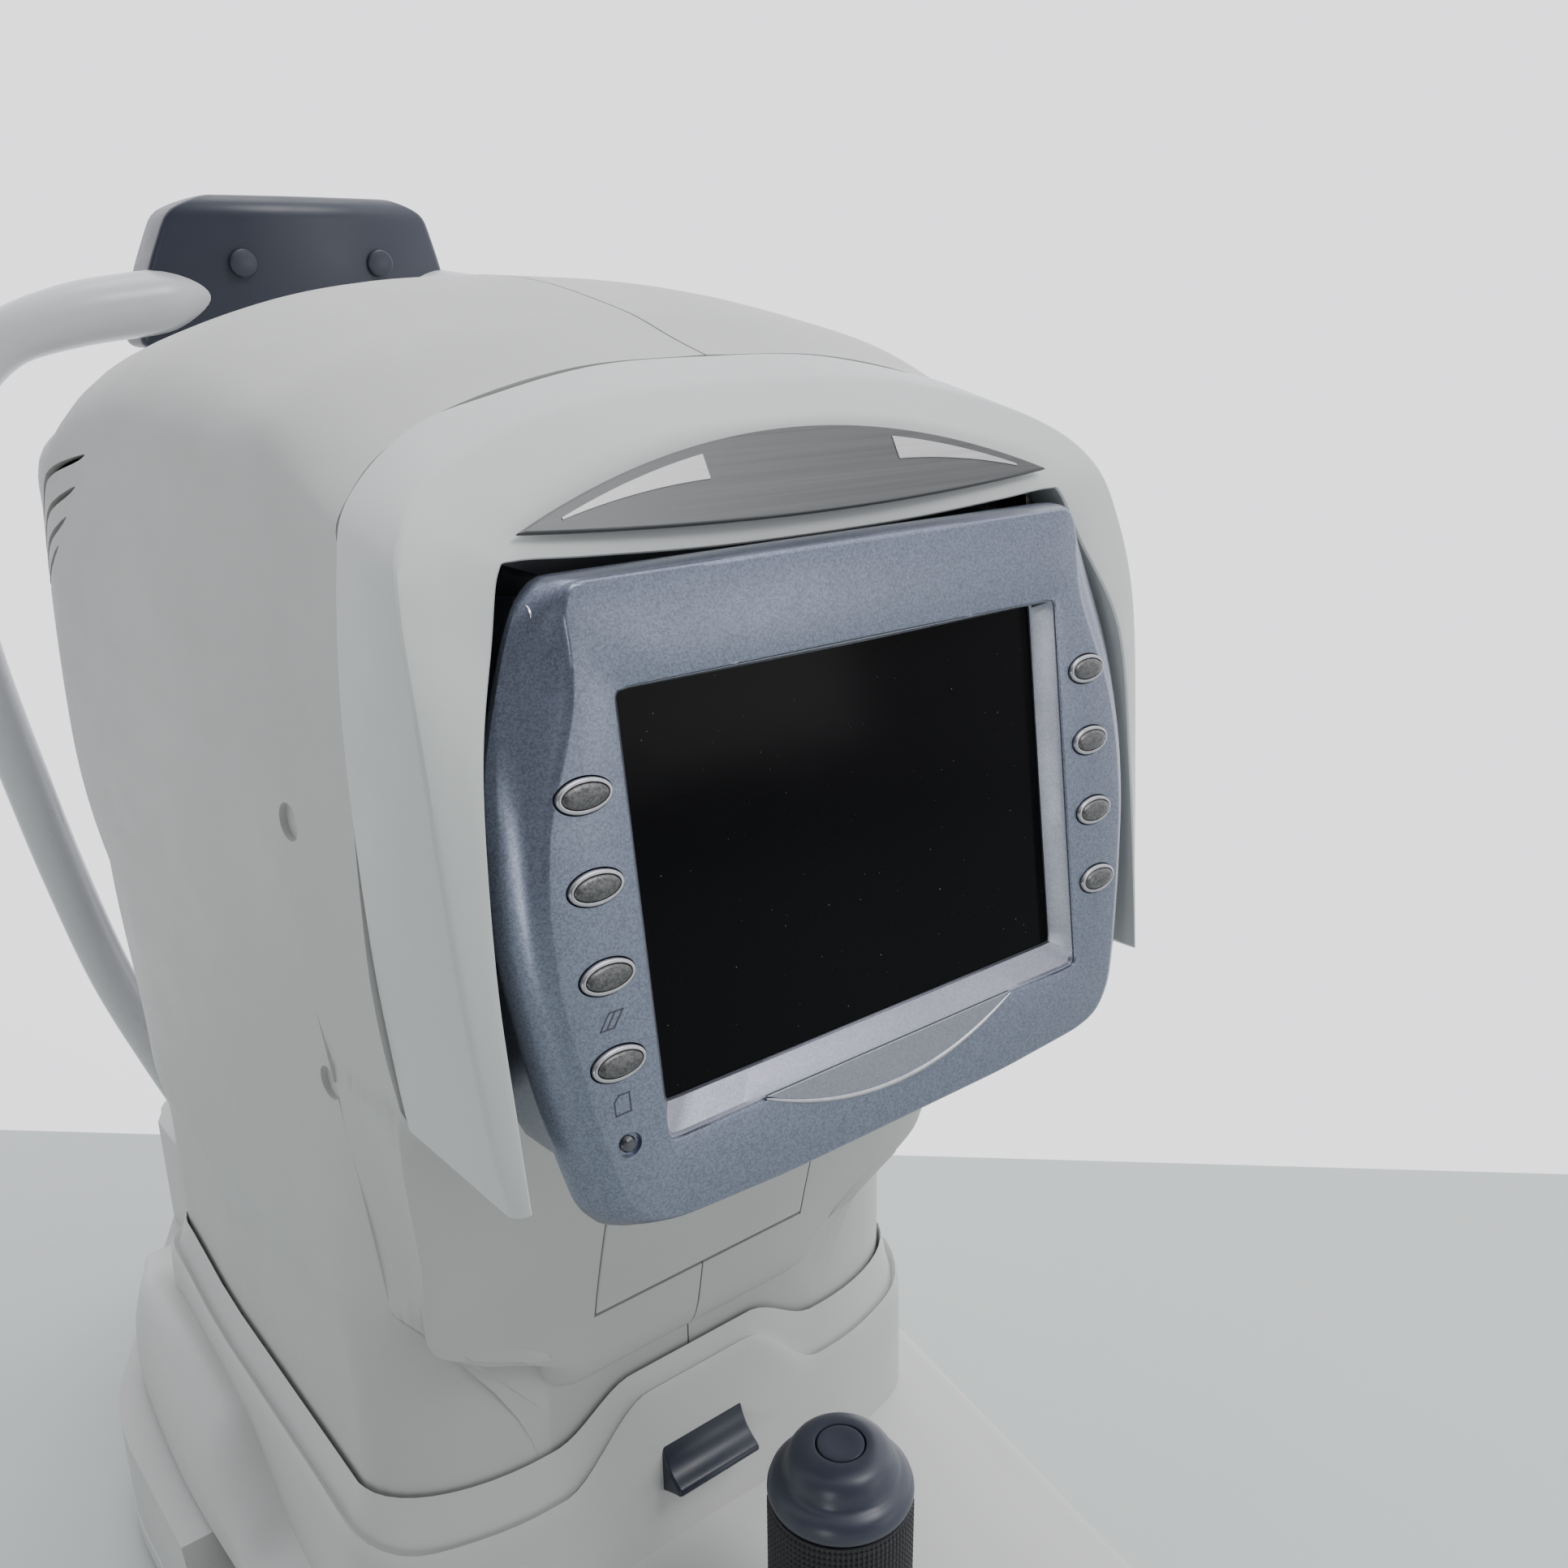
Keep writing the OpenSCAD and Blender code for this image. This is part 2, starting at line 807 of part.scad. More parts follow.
function shoulder_x(y) = lookup(y, [[-90, 77], [0, 68], [90, 60], [132, 66]]);
function barrel(z) = (z - 300) * (z - 300) * (z > 300 ? 0.0006 : 0.0022);

function side_w(y, z) =
  z >= 255 ? upper_w(y) - barrel(z)
  : z >= 183 ? mix(chin_w(y), upper_w(y) - barrel(255), ease((z - 183) / 72))
  : mix(neck_w(y), chin_w(y), ease((z - 150) / 33));

function casing_ring(y, t) =
  let (
    zt = top_z(y) - t,
    zs = shoulder_z(y) - t * 0.6,
    zb = bottom_z(y) + (t == 0 ? 0 : (y > -57 ? -4 : t)),
    xs = shoulder_x(y) - t * 0.6,
    top = [[xs * 0.5, zt - 1.5], [xs, zt - 8]],
    side = [for (j = [0:10]) let (z = mix(zs, zb, j / 10)) [side_w(y, z) - t, z]],
    low = [[(side_w(y, zb) - t) * 0.5, zb]],
    half = concat(top, side, low)
  )
  [for (p = concat(half, other_half(half))) [p[0], y + (y > -100 && y < 60 ? t : 0), p[1]]];

casing_stations = [-104, -90, -80, -72, -66, -60, -56.5, -56, -46.5, -31.5, 0, 30, 60, 90, 108, 122, 132];

module casing_solid(t) {
  stations = [for (y = casing_stations) if (t == 0 || y < 130) y];
  loft([for (y = stations) casing_ring(y - (t > 0 && y < -100 ? 2 : 0), t)]);
}

// Y of the seam between hood and casings at height z: upright below, leaning back above
function seam_at(z) = seam_y + lookup(z, [[377, 0], [390.5, 2.6], [402, 7.5], [413, 12.2], [420, 15.2]]);

// Everything in front of the seam
module ahead_of_seam(gap) {
  along_x(-120, 120)
    polygon(concat(
      [for (z = [60, 377, 390.5, 402, 413, 420]) [seam_at(z) + gap, z]],
      [[-140, 420], [-140, 60]]
    ));
}

module rear_outline(inset) {
  half = [
    [86 - inset, 150 + inset], [92 - inset, 230], [96 - inset, 300], [90 - inset, 346 - inset * 0.5],
    [70 - inset, 366 - inset]
  ];
  polygon(concat(half, other_half(half)));
}

module casing_shell() {
  difference() {
    casing_solid(0);
    casing_solid(wall);
    ahead_of_seam(seam_gap / 2);
    along_y(126, 140)
      rear_outline(6);
    along_y(115, 140)
      rear_outline(9);
    for (s = [-1, 1], spot = side_screws)
      rod_x(spot[0], spot[1], 9, s > 0 ? 90 : -120, s > 0 ? 120 : -90);
  }
}

module cover_window(grow) {
  box([-37 - grow, -120, 158 - grow], [37 + grow, -62, 262]);
}

module casing_left() {
  color(white)
    one_skin()
    intersection() {
      difference() {
        casing_shell();
        cover_window(seam_gap);
      }
      box([-130, -150, 0], [-seam_gap / 2, 200, 500]);
    }
}

module casing_right() {
  color(white)
    one_skin()
    intersection() {
      difference() {
        casing_shell();
        cover_window(seam_gap);
      }
      box([seam_gap / 2, -150, 0], [130, 200, 500]);
    }
}

module front_cover() {
  color(white)
    one_skin()
    intersection() {
      casing_shell();
      cover_window(0);
    }
}

module casing_screws() {
  color(steel)
    for (s = [-1, 1], spot = side_screws)
      rod_x(spot[0], spot[1], 6, s > 0 ? 91 : -96, s > 0 ? 96 : -91);
}

// Lip edge, front fold, rear fold and seam edge of the hood, from the crown down to the tip of one cheek;
// a seam edge is given as X and Z, as its Y follows from the seam
hood_stations = [
  [[0, -117.5, 376.6], [0, -106, 400.6], [0, -94.5, 408], [0, 413]],
  [[30, -117.6, 377], [31, -106.5, 399], [31, -95, 407.3], [30, 412.2]],
  [[58, -117.8, 378.5], [60, -109, 393], [60, -98, 403], [57, 407.5]],
  [[74, -118, 379.6], [79, -113, 387], [84, -105, 395], [77, 402]],
  [[78, -118.6, 378], [87, -116, 382], [95, -113, 386], [93, 390.5]],
  [[82, -122, 367], [90.5, -120.5, 370.5], [99, -119, 374], [98, 377]],
  [[90, -130, 344], [95, -128, 347], [100.3, -126, 350], [100.3, 345]],
  [[92.8, -134.5, 307], [96, -133, 307], [99.5, -131, 307], [99.5, 300]],
  [[92.8, -138.5, 275], [95, -137, 274], [97.5, -134.5, 273], [97, 268]],
  [[92.6, -140.5, 258], [94, -139, 257], [95.4, -136, 256], [95.4, 254]]
];
function toward(p, t) = let (d = [-p[0], 0, 300 - p[2]], s = (p[2] > 385 ? [0, 0, -1] : d / norm(d))) p + t * s;

function hood_ring(i) =
  let (
    s = hood_stations[i],
    lip = s[0],
    seam = [s[3][0], seam_at(s[3][1]) - seam_gap, s[3][1]],
    inner = toward(seam, wall),
    inner_seam = [inner[0], seam_at(inner[2]) - seam_gap, inner[2]],
    inner_lip = [lip[0], lip[1] + 12, lip[2] + (lip[2] > 376 ? 1.5 : 0)]
  )
  [lip, s[1], s[2], seam, inner_seam, inner_lip];

module hood() {
  color(white)
    both_sides()
      loft([for (i = [len(hood_stations) - 1:-1:0]) hood_ring(i)]);
}

module nameplate() {
  top = [for (i = [0:12]) let (t = 1 - i / 6) [74 * t, 16.5 * (1 - t * t)]];
  low = [for (i = [1:11]) let (t = -1 + i / 6) [74 * t, -3.5 * (1 - t * t)]];
  color([0.55, 0.56, 0.56])
    translate([0, -116.2, 384.2])
      rotate([61, 0, 0])
        linear_extrude(1.6)
          polygon(concat(top, low));
}

module rear_panel() {
  color(slate)
    difference() {
      along_y(126.1, 129.5)
        rear_outline(6.6);
      rod_y(0, nozzle_z, 40.6, 120, 140);
    }
}

module nozzle() {
  color([0.75, 0.76, 0.78])
    difference() {
      union() {
        rod_y(0, nozzle_z, 40, 110.02, 131);
        rod_y(0, nozzle_z, 18, 130.9, 148);
        rod_y(0, nozzle_z, 10, 147.9, 165);
      }
      rod_y(0, nozzle_z, 5, 109, 170);
    }
}

module head_chassis() {
  color([0.42, 0.43, 0.45])
    difference() {
      union() {
        translate([0, 0, 120])
          linear_extrude(30)
            polygon([[-40, -52], [40, -52], [66, -38], [66, 34], [-66, 34], [-66, -38]]);
        both_sides() {
          box([60, -44, 148], [64, 100, 384]);
          box([60, -86, 262], [64, -43, 384]);
          along_x(64, 68)
            union() {
              translate([hinge_y, hinge_z])
                circle(r = 4.2);
              translate([hinge_y, hinge_z - 4.2])
                square([-86 - hinge_y, 8.4]);
            }
        }
        box([-84, -89, 262], [84, -85.9, 384]);
        box([-60.5, 30, 262], [60.5, 34, 372]);
      }
      for (s = [-1, 1])
        translate([s * guide_x, guide_y, 100])
          cylinder(d = guide_d + 2 * running, h = 60);
      translate([0, screw_y, 100])
        cylinder(d = screw_d + 2 * running, h = 60);
      box([-30, -30, 110], [30, 24, 160]);
      rod_y(0, nozzle_z, 52.06, 29, 35);
      rod_y(0, cylinder_z, 36.06, 29, 35);
      rod_x(hinge_y, hinge_z, 5 + 2 * running, -70, 70);
    }
}

module air_cylinder() {
  color([0.62, 0.63, 0.65])
    difference() {
      rod_y(0, cylinder_z, 36, -20, 60);
      rod_y(0, cylinder_z, 28.1, -21, 54);
      rod_y(0, cylinder_z, 5, 50, 61);
    }
}

module air_piston() {
  color([0.8, 0.8, 0.82]) {
    rod_y(0, cylinder_z, 28, -10, 4);
    rod_y(0, cylinder_z, 8, -40, -9.9);
  }
}

module camera_module() {
  color([0.16, 0.16, 0.18])
    difference() {
      union() {
        rod_y(0, nozzle_z, 52, -20, 110);
        box([-26, -50, nozzle_z - 26], [26, -19.9, nozzle_z + 26]);
      }
      rod_y(0, nozzle_z, 42, 20, 111);
    }
  color([0.5, 0.6, 0.65])
    rod_y(0, nozzle_z, 42, 96, 102);
}

module main_board() {
  color([0.1, 0.3, 0.16]) {
    box([66.5, -60, 190], [68.1, 80, 340]);
    for (i = [0:2])
      box([68, -30 + i * 30, 220 + i * 26], [71, -10 + i * 30, 240 + i * 26]);
  }
}

// ---------- display ----------

module on_display() {
  translate([0, screen_y, screen_z])
    rotate([90 - lean, 0, 0])
      children();
}

function bezel_half(inset) = [
  [72 - inset, 66 - inset], [76.5 - inset, 62], [80.3 - inset, 54.5], [84.5 - inset, 43], [88.3 - inset, 31],
  [90.3 - inset, 10], [90.5 - inset, -6], [87 - inset, -32], [84 - inset, -48], [81 - inset, -60 + inset],
  [76 - inset, -66 + inset], [66 - inset, -68 + inset], [34, -69.5 + inset]
];
module bezel_outline(inset) {
  polygon(concat(bezel_half(inset), other_half(bezel_half(inset))));
}

module key_outline(grow) {
  polygon([for (i = [0:19]) [(key_w / 2 + grow) * cos(i * 18), (key_h / 2 + grow) * sin(i * 18)]]);
}

function key_place(k) = [(k < 4 ? -1 : 1) * key_u, 25 - (k % 4) * key_pitch, 0];

module display_bezel() {
  color([0.45, 0.48, 0.55])
    on_display()
      difference() {
        union() {
          translate([0, 0, -3])
            linear_extrude(3)
              bezel_outline(1.6);
          translate([0, 0, bezel_back])
            linear_extrude(-3 - bezel_back + 0.01)
              bezel_outline(0);
        }
        translate([-lip_u, lip_v_low, -screen_depth])
          cube([2 * lip_u, lip_v_top - lip_v_low, 10]);
        translate([-screen_w / 2 - 2, -screen_h / 2 - 2, -13])
          cube([screen_w + 4, screen_h + 4, 8]);
        for (k = [0:7])
          translate([0, 0, -13])
            translate(key_place(k))
              linear_extrude(20)
                key_outline(0.3);
        box([-90, 64.5, bezel_back - 1], [90, 70, -6]);
        ear_slots();
        translate([-76, hinge_v, hinge_n])
          rotate([0, 90, 0])
            cylinder(d = 5.02, h = 152);
      }
}

// Room in the display for the two hinge ears of the chassis
module ear_slots() {
  for (s = [-1, 1])
    box([s * 66 - 2.5, 48, -50], [s * 66 + 2.5, 70, -2.4]);
}

module display_back() {
  color([0.3, 0.32, 0.36])
    on_display()
      difference() {
        translate([0, 0, -38])
          linear_extrude(38 + bezel_back - 0.02)
            bezel_outline(5);
        translate([0, 0, -35])
          linear_extrude(30)
            bezel_outline(8);
        ear_slots();
      }
}

module lcd_panel() {
  color([0.02, 0.02, 0.025])
    on_display()
      box([-screen_w / 2 - 1.5, -screen_h / 2 - 1.5, -screen_depth - 5],
        [screen_w / 2 + 1.5, screen_h / 2 + 1.5, -screen_depth - 0.02]);
}

module display_pins() {
  color(steel)
    for (s = [-1, 1])
      rod_x(hinge_y, hinge_z, 5, s > 0 ? 58 : -75.9, s > 0 ? 75.9 : -58);
}

module oval_key(k) {
  color([0.5, 0.5, 0.52])
    on_display()
      translate(key_place(k)) {
        translate([0, 0, -10])
          linear_extrude(11)
            key_outline(0);
        translate([0, 0, 0.99])
          linear_extrude(0.6)
            key_outline(-0.6);
      }
}

base_tray();
rubber_feet();
base_cover();
cover_screws();
y_racks();
power_supply();
power_inlet();
io_panel();
chin_housing();
chin_actuator();
forehead_frame();
forehead_pad();
pad_plugs();
printer_unit();
paper_roll();
printer_door();
power_switch();
chin_post();
chin_cup();
bearing_blocks();
cross_axle();
pinions();
stage_plate();
bush_housing();
stage_cover();
lock_lever();
z_guides();
z_motor();
z_screw();
gimbal_ring();
joystick_shaft();
joystick_boot();
joystick_cap();
knob_ring();
start_button();
head_chassis();
casing_left();
casing_right();
hood();
nameplate();
front_cover();
rear_panel();
nozzle();
air_cylinder();
air_piston();
camera_module();
main_board();
casing_screws();
display_bezel();
display_back();
lcd_panel();
display_pins();
oval_key(0);  // key_1
oval_key(1);  // key_2
oval_key(2);  // key_3
oval_key(3);  // key_4
oval_key(4);  // key_5
oval_key(5);  // key_6
oval_key(6);  // key_7
oval_key(7);  // key_8
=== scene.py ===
import json
import math

import bmesh
import bpy
from mathutils import Matrix, Vector


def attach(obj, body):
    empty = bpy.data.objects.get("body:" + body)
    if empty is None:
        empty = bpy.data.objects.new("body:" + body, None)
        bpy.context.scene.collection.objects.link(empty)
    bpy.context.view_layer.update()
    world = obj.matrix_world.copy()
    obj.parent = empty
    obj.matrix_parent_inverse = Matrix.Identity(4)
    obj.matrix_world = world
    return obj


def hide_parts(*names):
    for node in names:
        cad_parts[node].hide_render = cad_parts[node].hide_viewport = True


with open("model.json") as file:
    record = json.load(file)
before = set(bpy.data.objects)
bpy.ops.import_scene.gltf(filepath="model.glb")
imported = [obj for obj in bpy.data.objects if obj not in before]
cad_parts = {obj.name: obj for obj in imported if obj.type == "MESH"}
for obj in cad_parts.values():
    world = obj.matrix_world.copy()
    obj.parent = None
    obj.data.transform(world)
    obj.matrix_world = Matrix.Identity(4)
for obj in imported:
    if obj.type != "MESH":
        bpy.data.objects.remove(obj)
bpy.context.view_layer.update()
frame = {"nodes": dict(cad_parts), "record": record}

MM = 0.001
ALONG_X = Matrix(((0, 0, 1, 0), (1, 0, 0, 0), (0, 1, 0, 0), (0, 0, 0, 1)))
ALONG_Y = Matrix(((1, 0, 0, 0), (0, 0, 1, 0), (0, 1, 0, 0), (0, 0, 0, 1)))
SEAM = 0.4


# ---------- curves and meshes ----------


def smooth(table):
    """A monotone cubic through (x, value) pairs."""
    xs = [p[0] for p in table]
    ys = [p[1] for p in table]
    d = [(ys[i + 1] - ys[i]) / (xs[i + 1] - xs[i]) for i in range(len(xs) - 1)]
    m = [d[0]]
    for i in range(1, len(d)):
        both = d[i - 1] * d[i]
        m.append(2 * both / (d[i - 1] + d[i]) if both > 0 else 0.0)
    m.append(d[-1])

    def value(x):
        x = min(max(x, xs[0]), xs[-1])
        i = max(k for k in range(len(d)) if xs[k] <= x)
        h = xs[i + 1] - xs[i]
        t = (x - xs[i]) / h
        a = ys[i] * (1 + 2 * t) * (1 - t) ** 2 + ys[i + 1] * t * t * (3 - 2 * t)
        return a + h * (m[i] * t * (1 - t) ** 2 - m[i + 1] * t * t * (1 - t))

    return value


def mix(a, b, t):
    return a + (b - a) * t


def ease(t):
    t = min(max(t, 0.0), 1.0)
    return t * t * (3 - 2 * t)


def through(points, steps):
    """Points on a smooth open curve that passes through the given points."""
    pts = [Vector(p) for p in points]
    pts = [2 * pts[0] - pts[1]] + pts + [2 * pts[-1] - pts[-2]]
    out = []
    for i in range(1, len(pts) - 2):
        a, b, c, d = pts[i - 1 : i + 3]
        for k in range(steps):
            t = k / steps
            out.append(
                0.5 * (2 * b + (c - a) * t + (2 * a - 5 * b + 4 * c - d) * t * t + (3 * b - a - 3 * c + d) * t**3)
            )
    return out + [pts[-2]]


def rounded(points, radius, steps=4, closed=False):
    """A polyline with its corners rounded by up to radius."""
    pts = [Vector(p) for p in points]
    n = len(pts)
    out = []
    for i, p in enumerate(pts):
        if not closed and i in (0, n - 1):
            out.append(p)
            continue
        a, b = pts[i - 1] - p, pts[(i + 1) % n] - p
        r = min(radius, a.length * 0.45, b.length * 0.45)
        start, end = p + a.normalized() * r, p + b.normalized() * r
        for k in range(steps + 1):
            t = k / steps
            out.append(start * (1 - t) ** 2 + 2 * p * t * (1 - t) + end * t * t)
    return out


def new_object(name, bm):
    mesh = bpy.data.meshes.new(name)
    bm.to_mesh(mesh)
    bm.free()
    obj = bpy.data.objects.new(name, mesh)
    bpy.context.scene.collection.objects.link(obj)
    return obj


def shade(obj, angle=32):
    """Smooth shading, with edges sharper than angle kept crisp."""
    bm = bmesh.new()
    bm.from_mesh(obj.data)
    bmesh.ops.recalc_face_normals(bm, faces=bm.faces)
    limit = math.radians(angle)
    for e in bm.edges:
        e.smooth = len(e.link_faces) == 2 and e.calc_face_angle(0) < limit
    for f in bm.faces:
        f.smooth = True
    bm.to_mesh(obj.data)
    bm.free()
    return obj


def grid(name, rows, closed=False, caps=(False, False), keep=None, mirror=False, angle=32):
    """A surface through rows of points in millimetres."""
    bm = bmesh.new()
    n = len(rows[0])

    def build(sign):
        verts = [[bm.verts.new((p[0] * sign * MM, p[1] * MM, p[2] * MM)) for p in row] for row in rows]
        for j in range(len(rows) - 1):
            for i in range(n if closed else n - 1):
                if keep and not keep(j, i):
                    continue
                k = (i + 1) % n
                face = [verts[j][i], verts[j][k], verts[j + 1][k], verts[j + 1][i]]
                bm.faces.new(face if sign > 0 else face[::-1])
        for cap, row in zip(caps, (verts[0], verts[-1])):
            if cap:
                bm.faces.new(row)

    build(1)
    if mirror:
        build(-1)
    bmesh.ops.remove_doubles(bm, verts=bm.verts, dist=1e-6)
    loose = [v for v in bm.verts if not v.link_faces]
    bmesh.ops.delete(bm, geom=loose, context="VERTS")
    return shade(new_object(name, bm), angle)


def walls(bm, low, high):
    """The faces between two closed rings of vertices."""
    for i in range(len(low)):
        k = (i + 1) % len(low)
        bm.faces.new((low[i], low[k], high[k], high[i]))


def prism(name, outline, low, high, place=None):
    """An outline in X and Y, extruded from low to high."""
    bm = bmesh.new()
    rings = [[bm.verts.new((p[0] * MM, p[1] * MM, z * MM)) for p in outline] for z in (low, high)]
    walls(bm, *rings)
    bm.faces.new(rings[0][::-1])
    bm.faces.new(rings[1])
    bmesh.ops.recalc_face_normals(bm, faces=bm.faces)
    obj = new_object(name, bm)
    if place:
        obj.data.transform(place)
    return obj


def lathe(name, profile, centre, turns=96, place=None, wave=None):
    """A profile of (radius, height) points turned about a vertical line."""
    rows = []
    for r, z in profile:
        row = []
        for k in range(turns):
            a = 2 * math.pi * k / turns
            s = r + (wave(k, r, z) if wave else 0)
            row.append((centre[0] + s * math.cos(a), centre[1] + s * math.sin(a), z))
        rows.append(row)
    ends = tuple(p[0] < 0.5 for p in (profile[0], profile[-1]))
    obj = grid(name, rows, closed=True, caps=ends, angle=28)
    if place:
        obj.data.transform(place)
    return obj


def tube(name, path, radius, sides=20):
    """A round tube through points, with a radius that may vary, closed at its ends."""
    pts = [Vector(p) for p in path]
    rows = []
    for i, p in enumerate(pts):
        along = (pts[min(i + 1, len(pts) - 1)] - pts[max(i - 1, 0)]).normalized()
        side = Vector((0, 1, 0)) if abs(along.y) < 0.9 else Vector((1, 0, 0))
        up = side.cross(along).normalized()
        across = along.cross(up)
        r = radius(i, p) if callable(radius) else radius
        turn = [2 * math.pi * k / sides for k in range(sides)]
        rows.append([p + r * (math.cos(a) * across + math.sin(a) * up) for a in turn])
    return grid(name, rows, closed=True, caps=(True, True), angle=40)


def ellipse(a, b, count=48):
    return [(a * math.cos(2 * math.pi * k / count), b * math.sin(2 * math.pi * k / count)) for k in range(count)]


def modify(obj, kind, **values):
    m = obj.modifiers.new(kind.title(), kind)
    for key, value in values.items():
        setattr(m, key, value)
    return m


def settle(obj):
    """Applies an object's modifiers to its mesh."""
    graph = bpy.context.evaluated_depsgraph_get()
    mesh = bpy.data.meshes.new_from_object(obj.evaluated_get(graph))
    obj.modifiers.clear()
    obj.data = mesh
    return obj


def cut(obj, cutters):
    """Takes the cutters' solids out of an object."""
    for c in cutters:
        modify(obj, "BOOLEAN", operation="DIFFERENCE", object=c, solver="EXACT")
    settle(obj)
    for c in cutters:
        bpy.data.objects.remove(c)
    return obj


def soften(obj, width, segments=3, angle=30):
    """Rounds an object's sharp edges by width, in millimetres."""
    m = modify(obj, "BEVEL", width=width * MM, segments=segments, limit_method="ANGLE")
    m.angle_limit, m.miter_outer = math.radians(angle), "MITER_ARC"
    return obj


def soft_copy(node, width, segments):
    """A copy of a CAD node with rounded edges."""
    bm = bmesh.new()
    bm.from_mesh(frame["nodes"][node].data)
    bmesh.ops.remove_doubles(bm, verts=bm.verts, dist=2e-6)
    bmesh.ops.dissolve_limit(bm, angle_limit=math.radians(0.6), verts=bm.verts, edges=bm.edges)
    obj = shade(new_object(node + "_finished", bm), 28)
    modify(obj, "BEVEL", width=width * MM, segments=segments, limit_method="ANGLE", angle_limit=math.radians(32))
    return obj


# ---------- materials ----------


def base_material(name, colour, rough, metal=0.0):
    material = bpy.data.materials.new(name)
    material.use_nodes = True
    nodes, links = material.node_tree.nodes, material.node_tree.links
    shader = nodes["Principled BSDF"]
    shader.inputs["Base Color"].default_value = (*colour, 1)
    shader.inputs["Roughness"].default_value = rough
    shader.inputs["Metallic"].default_value = metal
    coord = nodes.new("ShaderNodeTexCoord")
    return material, nodes, links, shader, coord.outputs["Object"]


def noise(nodes, links, vector, scale, detail=2.0, stretch=None, rough=0.5):
    if stretch:
        scaled = nodes.new("ShaderNodeMapping")
        scaled.inputs["Scale"].default_value = stretch
        links.new(vector, scaled.inputs["Vector"])
        vector = scaled.outputs["Vector"]
    n = nodes.new("ShaderNodeTexNoise")
    n.inputs["Scale"].default_value = scale
    n.inputs["Detail"].default_value = detail
    n.inputs["Roughness"].default_value = rough
    links.new(vector, n.inputs["Vector"])
    return n.outputs["Fac"]


def ranged(nodes, links, value, low, high, start=0.3, end=0.7):
    r = nodes.new("ShaderNodeMapRange")
    r.inputs["From Min"].default_value = start
    r.inputs["From Max"].default_value = end
    r.inputs["To Min"].default_value = low
    r.inputs["To Max"].default_value = high
    links.new(value, r.inputs["Value"])
    return r.outputs["Result"]


def blended(nodes, links, value, dark, light):
    c = nodes.new("ShaderNodeMix")
    c.data_type = "RGBA"
    c.inputs["A"].default_value = (*dark, 1)
    c.inputs["B"].default_value = (*light, 1)
    links.new(value, c.inputs["Factor"])
    return c.outputs["Result"]


def bumped(nodes, links, shader, heights):
    """Chains (height, strength, distance in millimetres) bumps into the shader's normal."""
    normal = None
    for height, strength, distance in heights:
        b = nodes.new("ShaderNodeBump")
        b.inputs["Strength"].default_value = strength
        b.inputs["Distance"].default_value = distance * MM
        links.new(height, b.inputs["Height"])
        if normal:
            links.new(normal, b.inputs["Normal"])
        normal = b.outputs["Normal"]
    links.new(normal, shader.inputs["Normal"])


def moulded(name, colour, rough, grain=620, height=0.05, strength=0.35, mottle=0.035, coat=0.0, wave=0.12):
    """Moulded plastic: a fine leathery grain, slight colour drift, faint handling marks in its gloss."""
    material, nodes, links, shader, vector = base_material(name, colour, rough)
    drift = noise(nodes, links, vector, 14, 3)
    dark = tuple(c * (1 - mottle) for c in colour)
    light = tuple(min(1, c * (1 + mottle * 0.6)) for c in colour)
    links.new(blended(nodes, links, ranged(nodes, links, drift, 0, 1), dark, light), shader.inputs["Base Color"])
    marks = noise(nodes, links, vector, 55, 5, rough=0.65)
    links.new(ranged(nodes, links, marks, rough - 0.05, rough + 0.07), shader.inputs["Roughness"])
    grainy = noise(nodes, links, vector, grain, 2.5)
    fine = noise(nodes, links, vector, grain * 3.1, 2)
    slow = noise(nodes, links, vector, 22, 1)
    heights = [(slow, wave, 0.4), (grainy, strength, height), (fine, strength * 0.6, height * 0.4)]
    bumped(nodes, links, shader, heights)
    shader.inputs["Coat Weight"].default_value = coat
    shader.inputs["Coat Roughness"].default_value = 0.2
    return material


def brushed(name, colour, rough, stretch=(6, 900, 900), strength=0.25, metal=1.0):
    """Metal with fine parallel brush lines."""
    material, nodes, links, shader, vector = base_material(name, colour, rough, metal)
    lines = noise(nodes, links, vector, 1.6, 4, stretch=stretch, rough=0.7)
    dark = tuple(c * 0.82 for c in colour)
    light = tuple(min(1, c * 1.1) for c in colour)
    links.new(blended(nodes, links, ranged(nodes, links, lines, 0, 1), dark, light), shader.inputs["Base Color"])
    links.new(ranged(nodes, links, lines, rough - 0.06, rough + 0.1), shader.inputs["Roughness"])
    bumped(nodes, links, shader, [(lines, strength, 0.02)])
    return material


def flaked(name, colour, rough, metal=0.75, flake=2600, contrast=0.22):
    """Metallic paint: tiny flakes of differing brightness under a thin lacquer."""
    material, nodes, links, shader, vector = base_material(name, colour, rough, metal)
    cells = nodes.new("ShaderNodeTexVoronoi")
    cells.inputs["Scale"].default_value = flake
    links.new(vector, cells.inputs["Vector"])
    single = nodes.new("ShaderNodeSeparateColor")
    links.new(cells.outputs["Color"], single.inputs["Color"])
    dark = tuple(c * (1 - contrast) for c in colour)
    light = tuple(min(1, c * (1 + contrast)) for c in colour)
    links.new(blended(nodes, links, single.outputs["Red"], dark, light), shader.inputs["Base Color"])
    peel = noise(nodes, links, vector, 420, 2)
    smudge = noise(nodes, links, vector, 40, 4, rough=0.6)
    links.new(ranged(nodes, links, smudge, rough - 0.05, rough + 0.08), shader.inputs["Roughness"])
    bumped(nodes, links, shader, [(single.outputs["Green"], 0.12, 0.02), (peel, 0.12, 0.03)])
    shader.inputs["Coat Weight"].default_value = 0.25
    shader.inputs["Coat Roughness"].default_value = 0.22
    return material


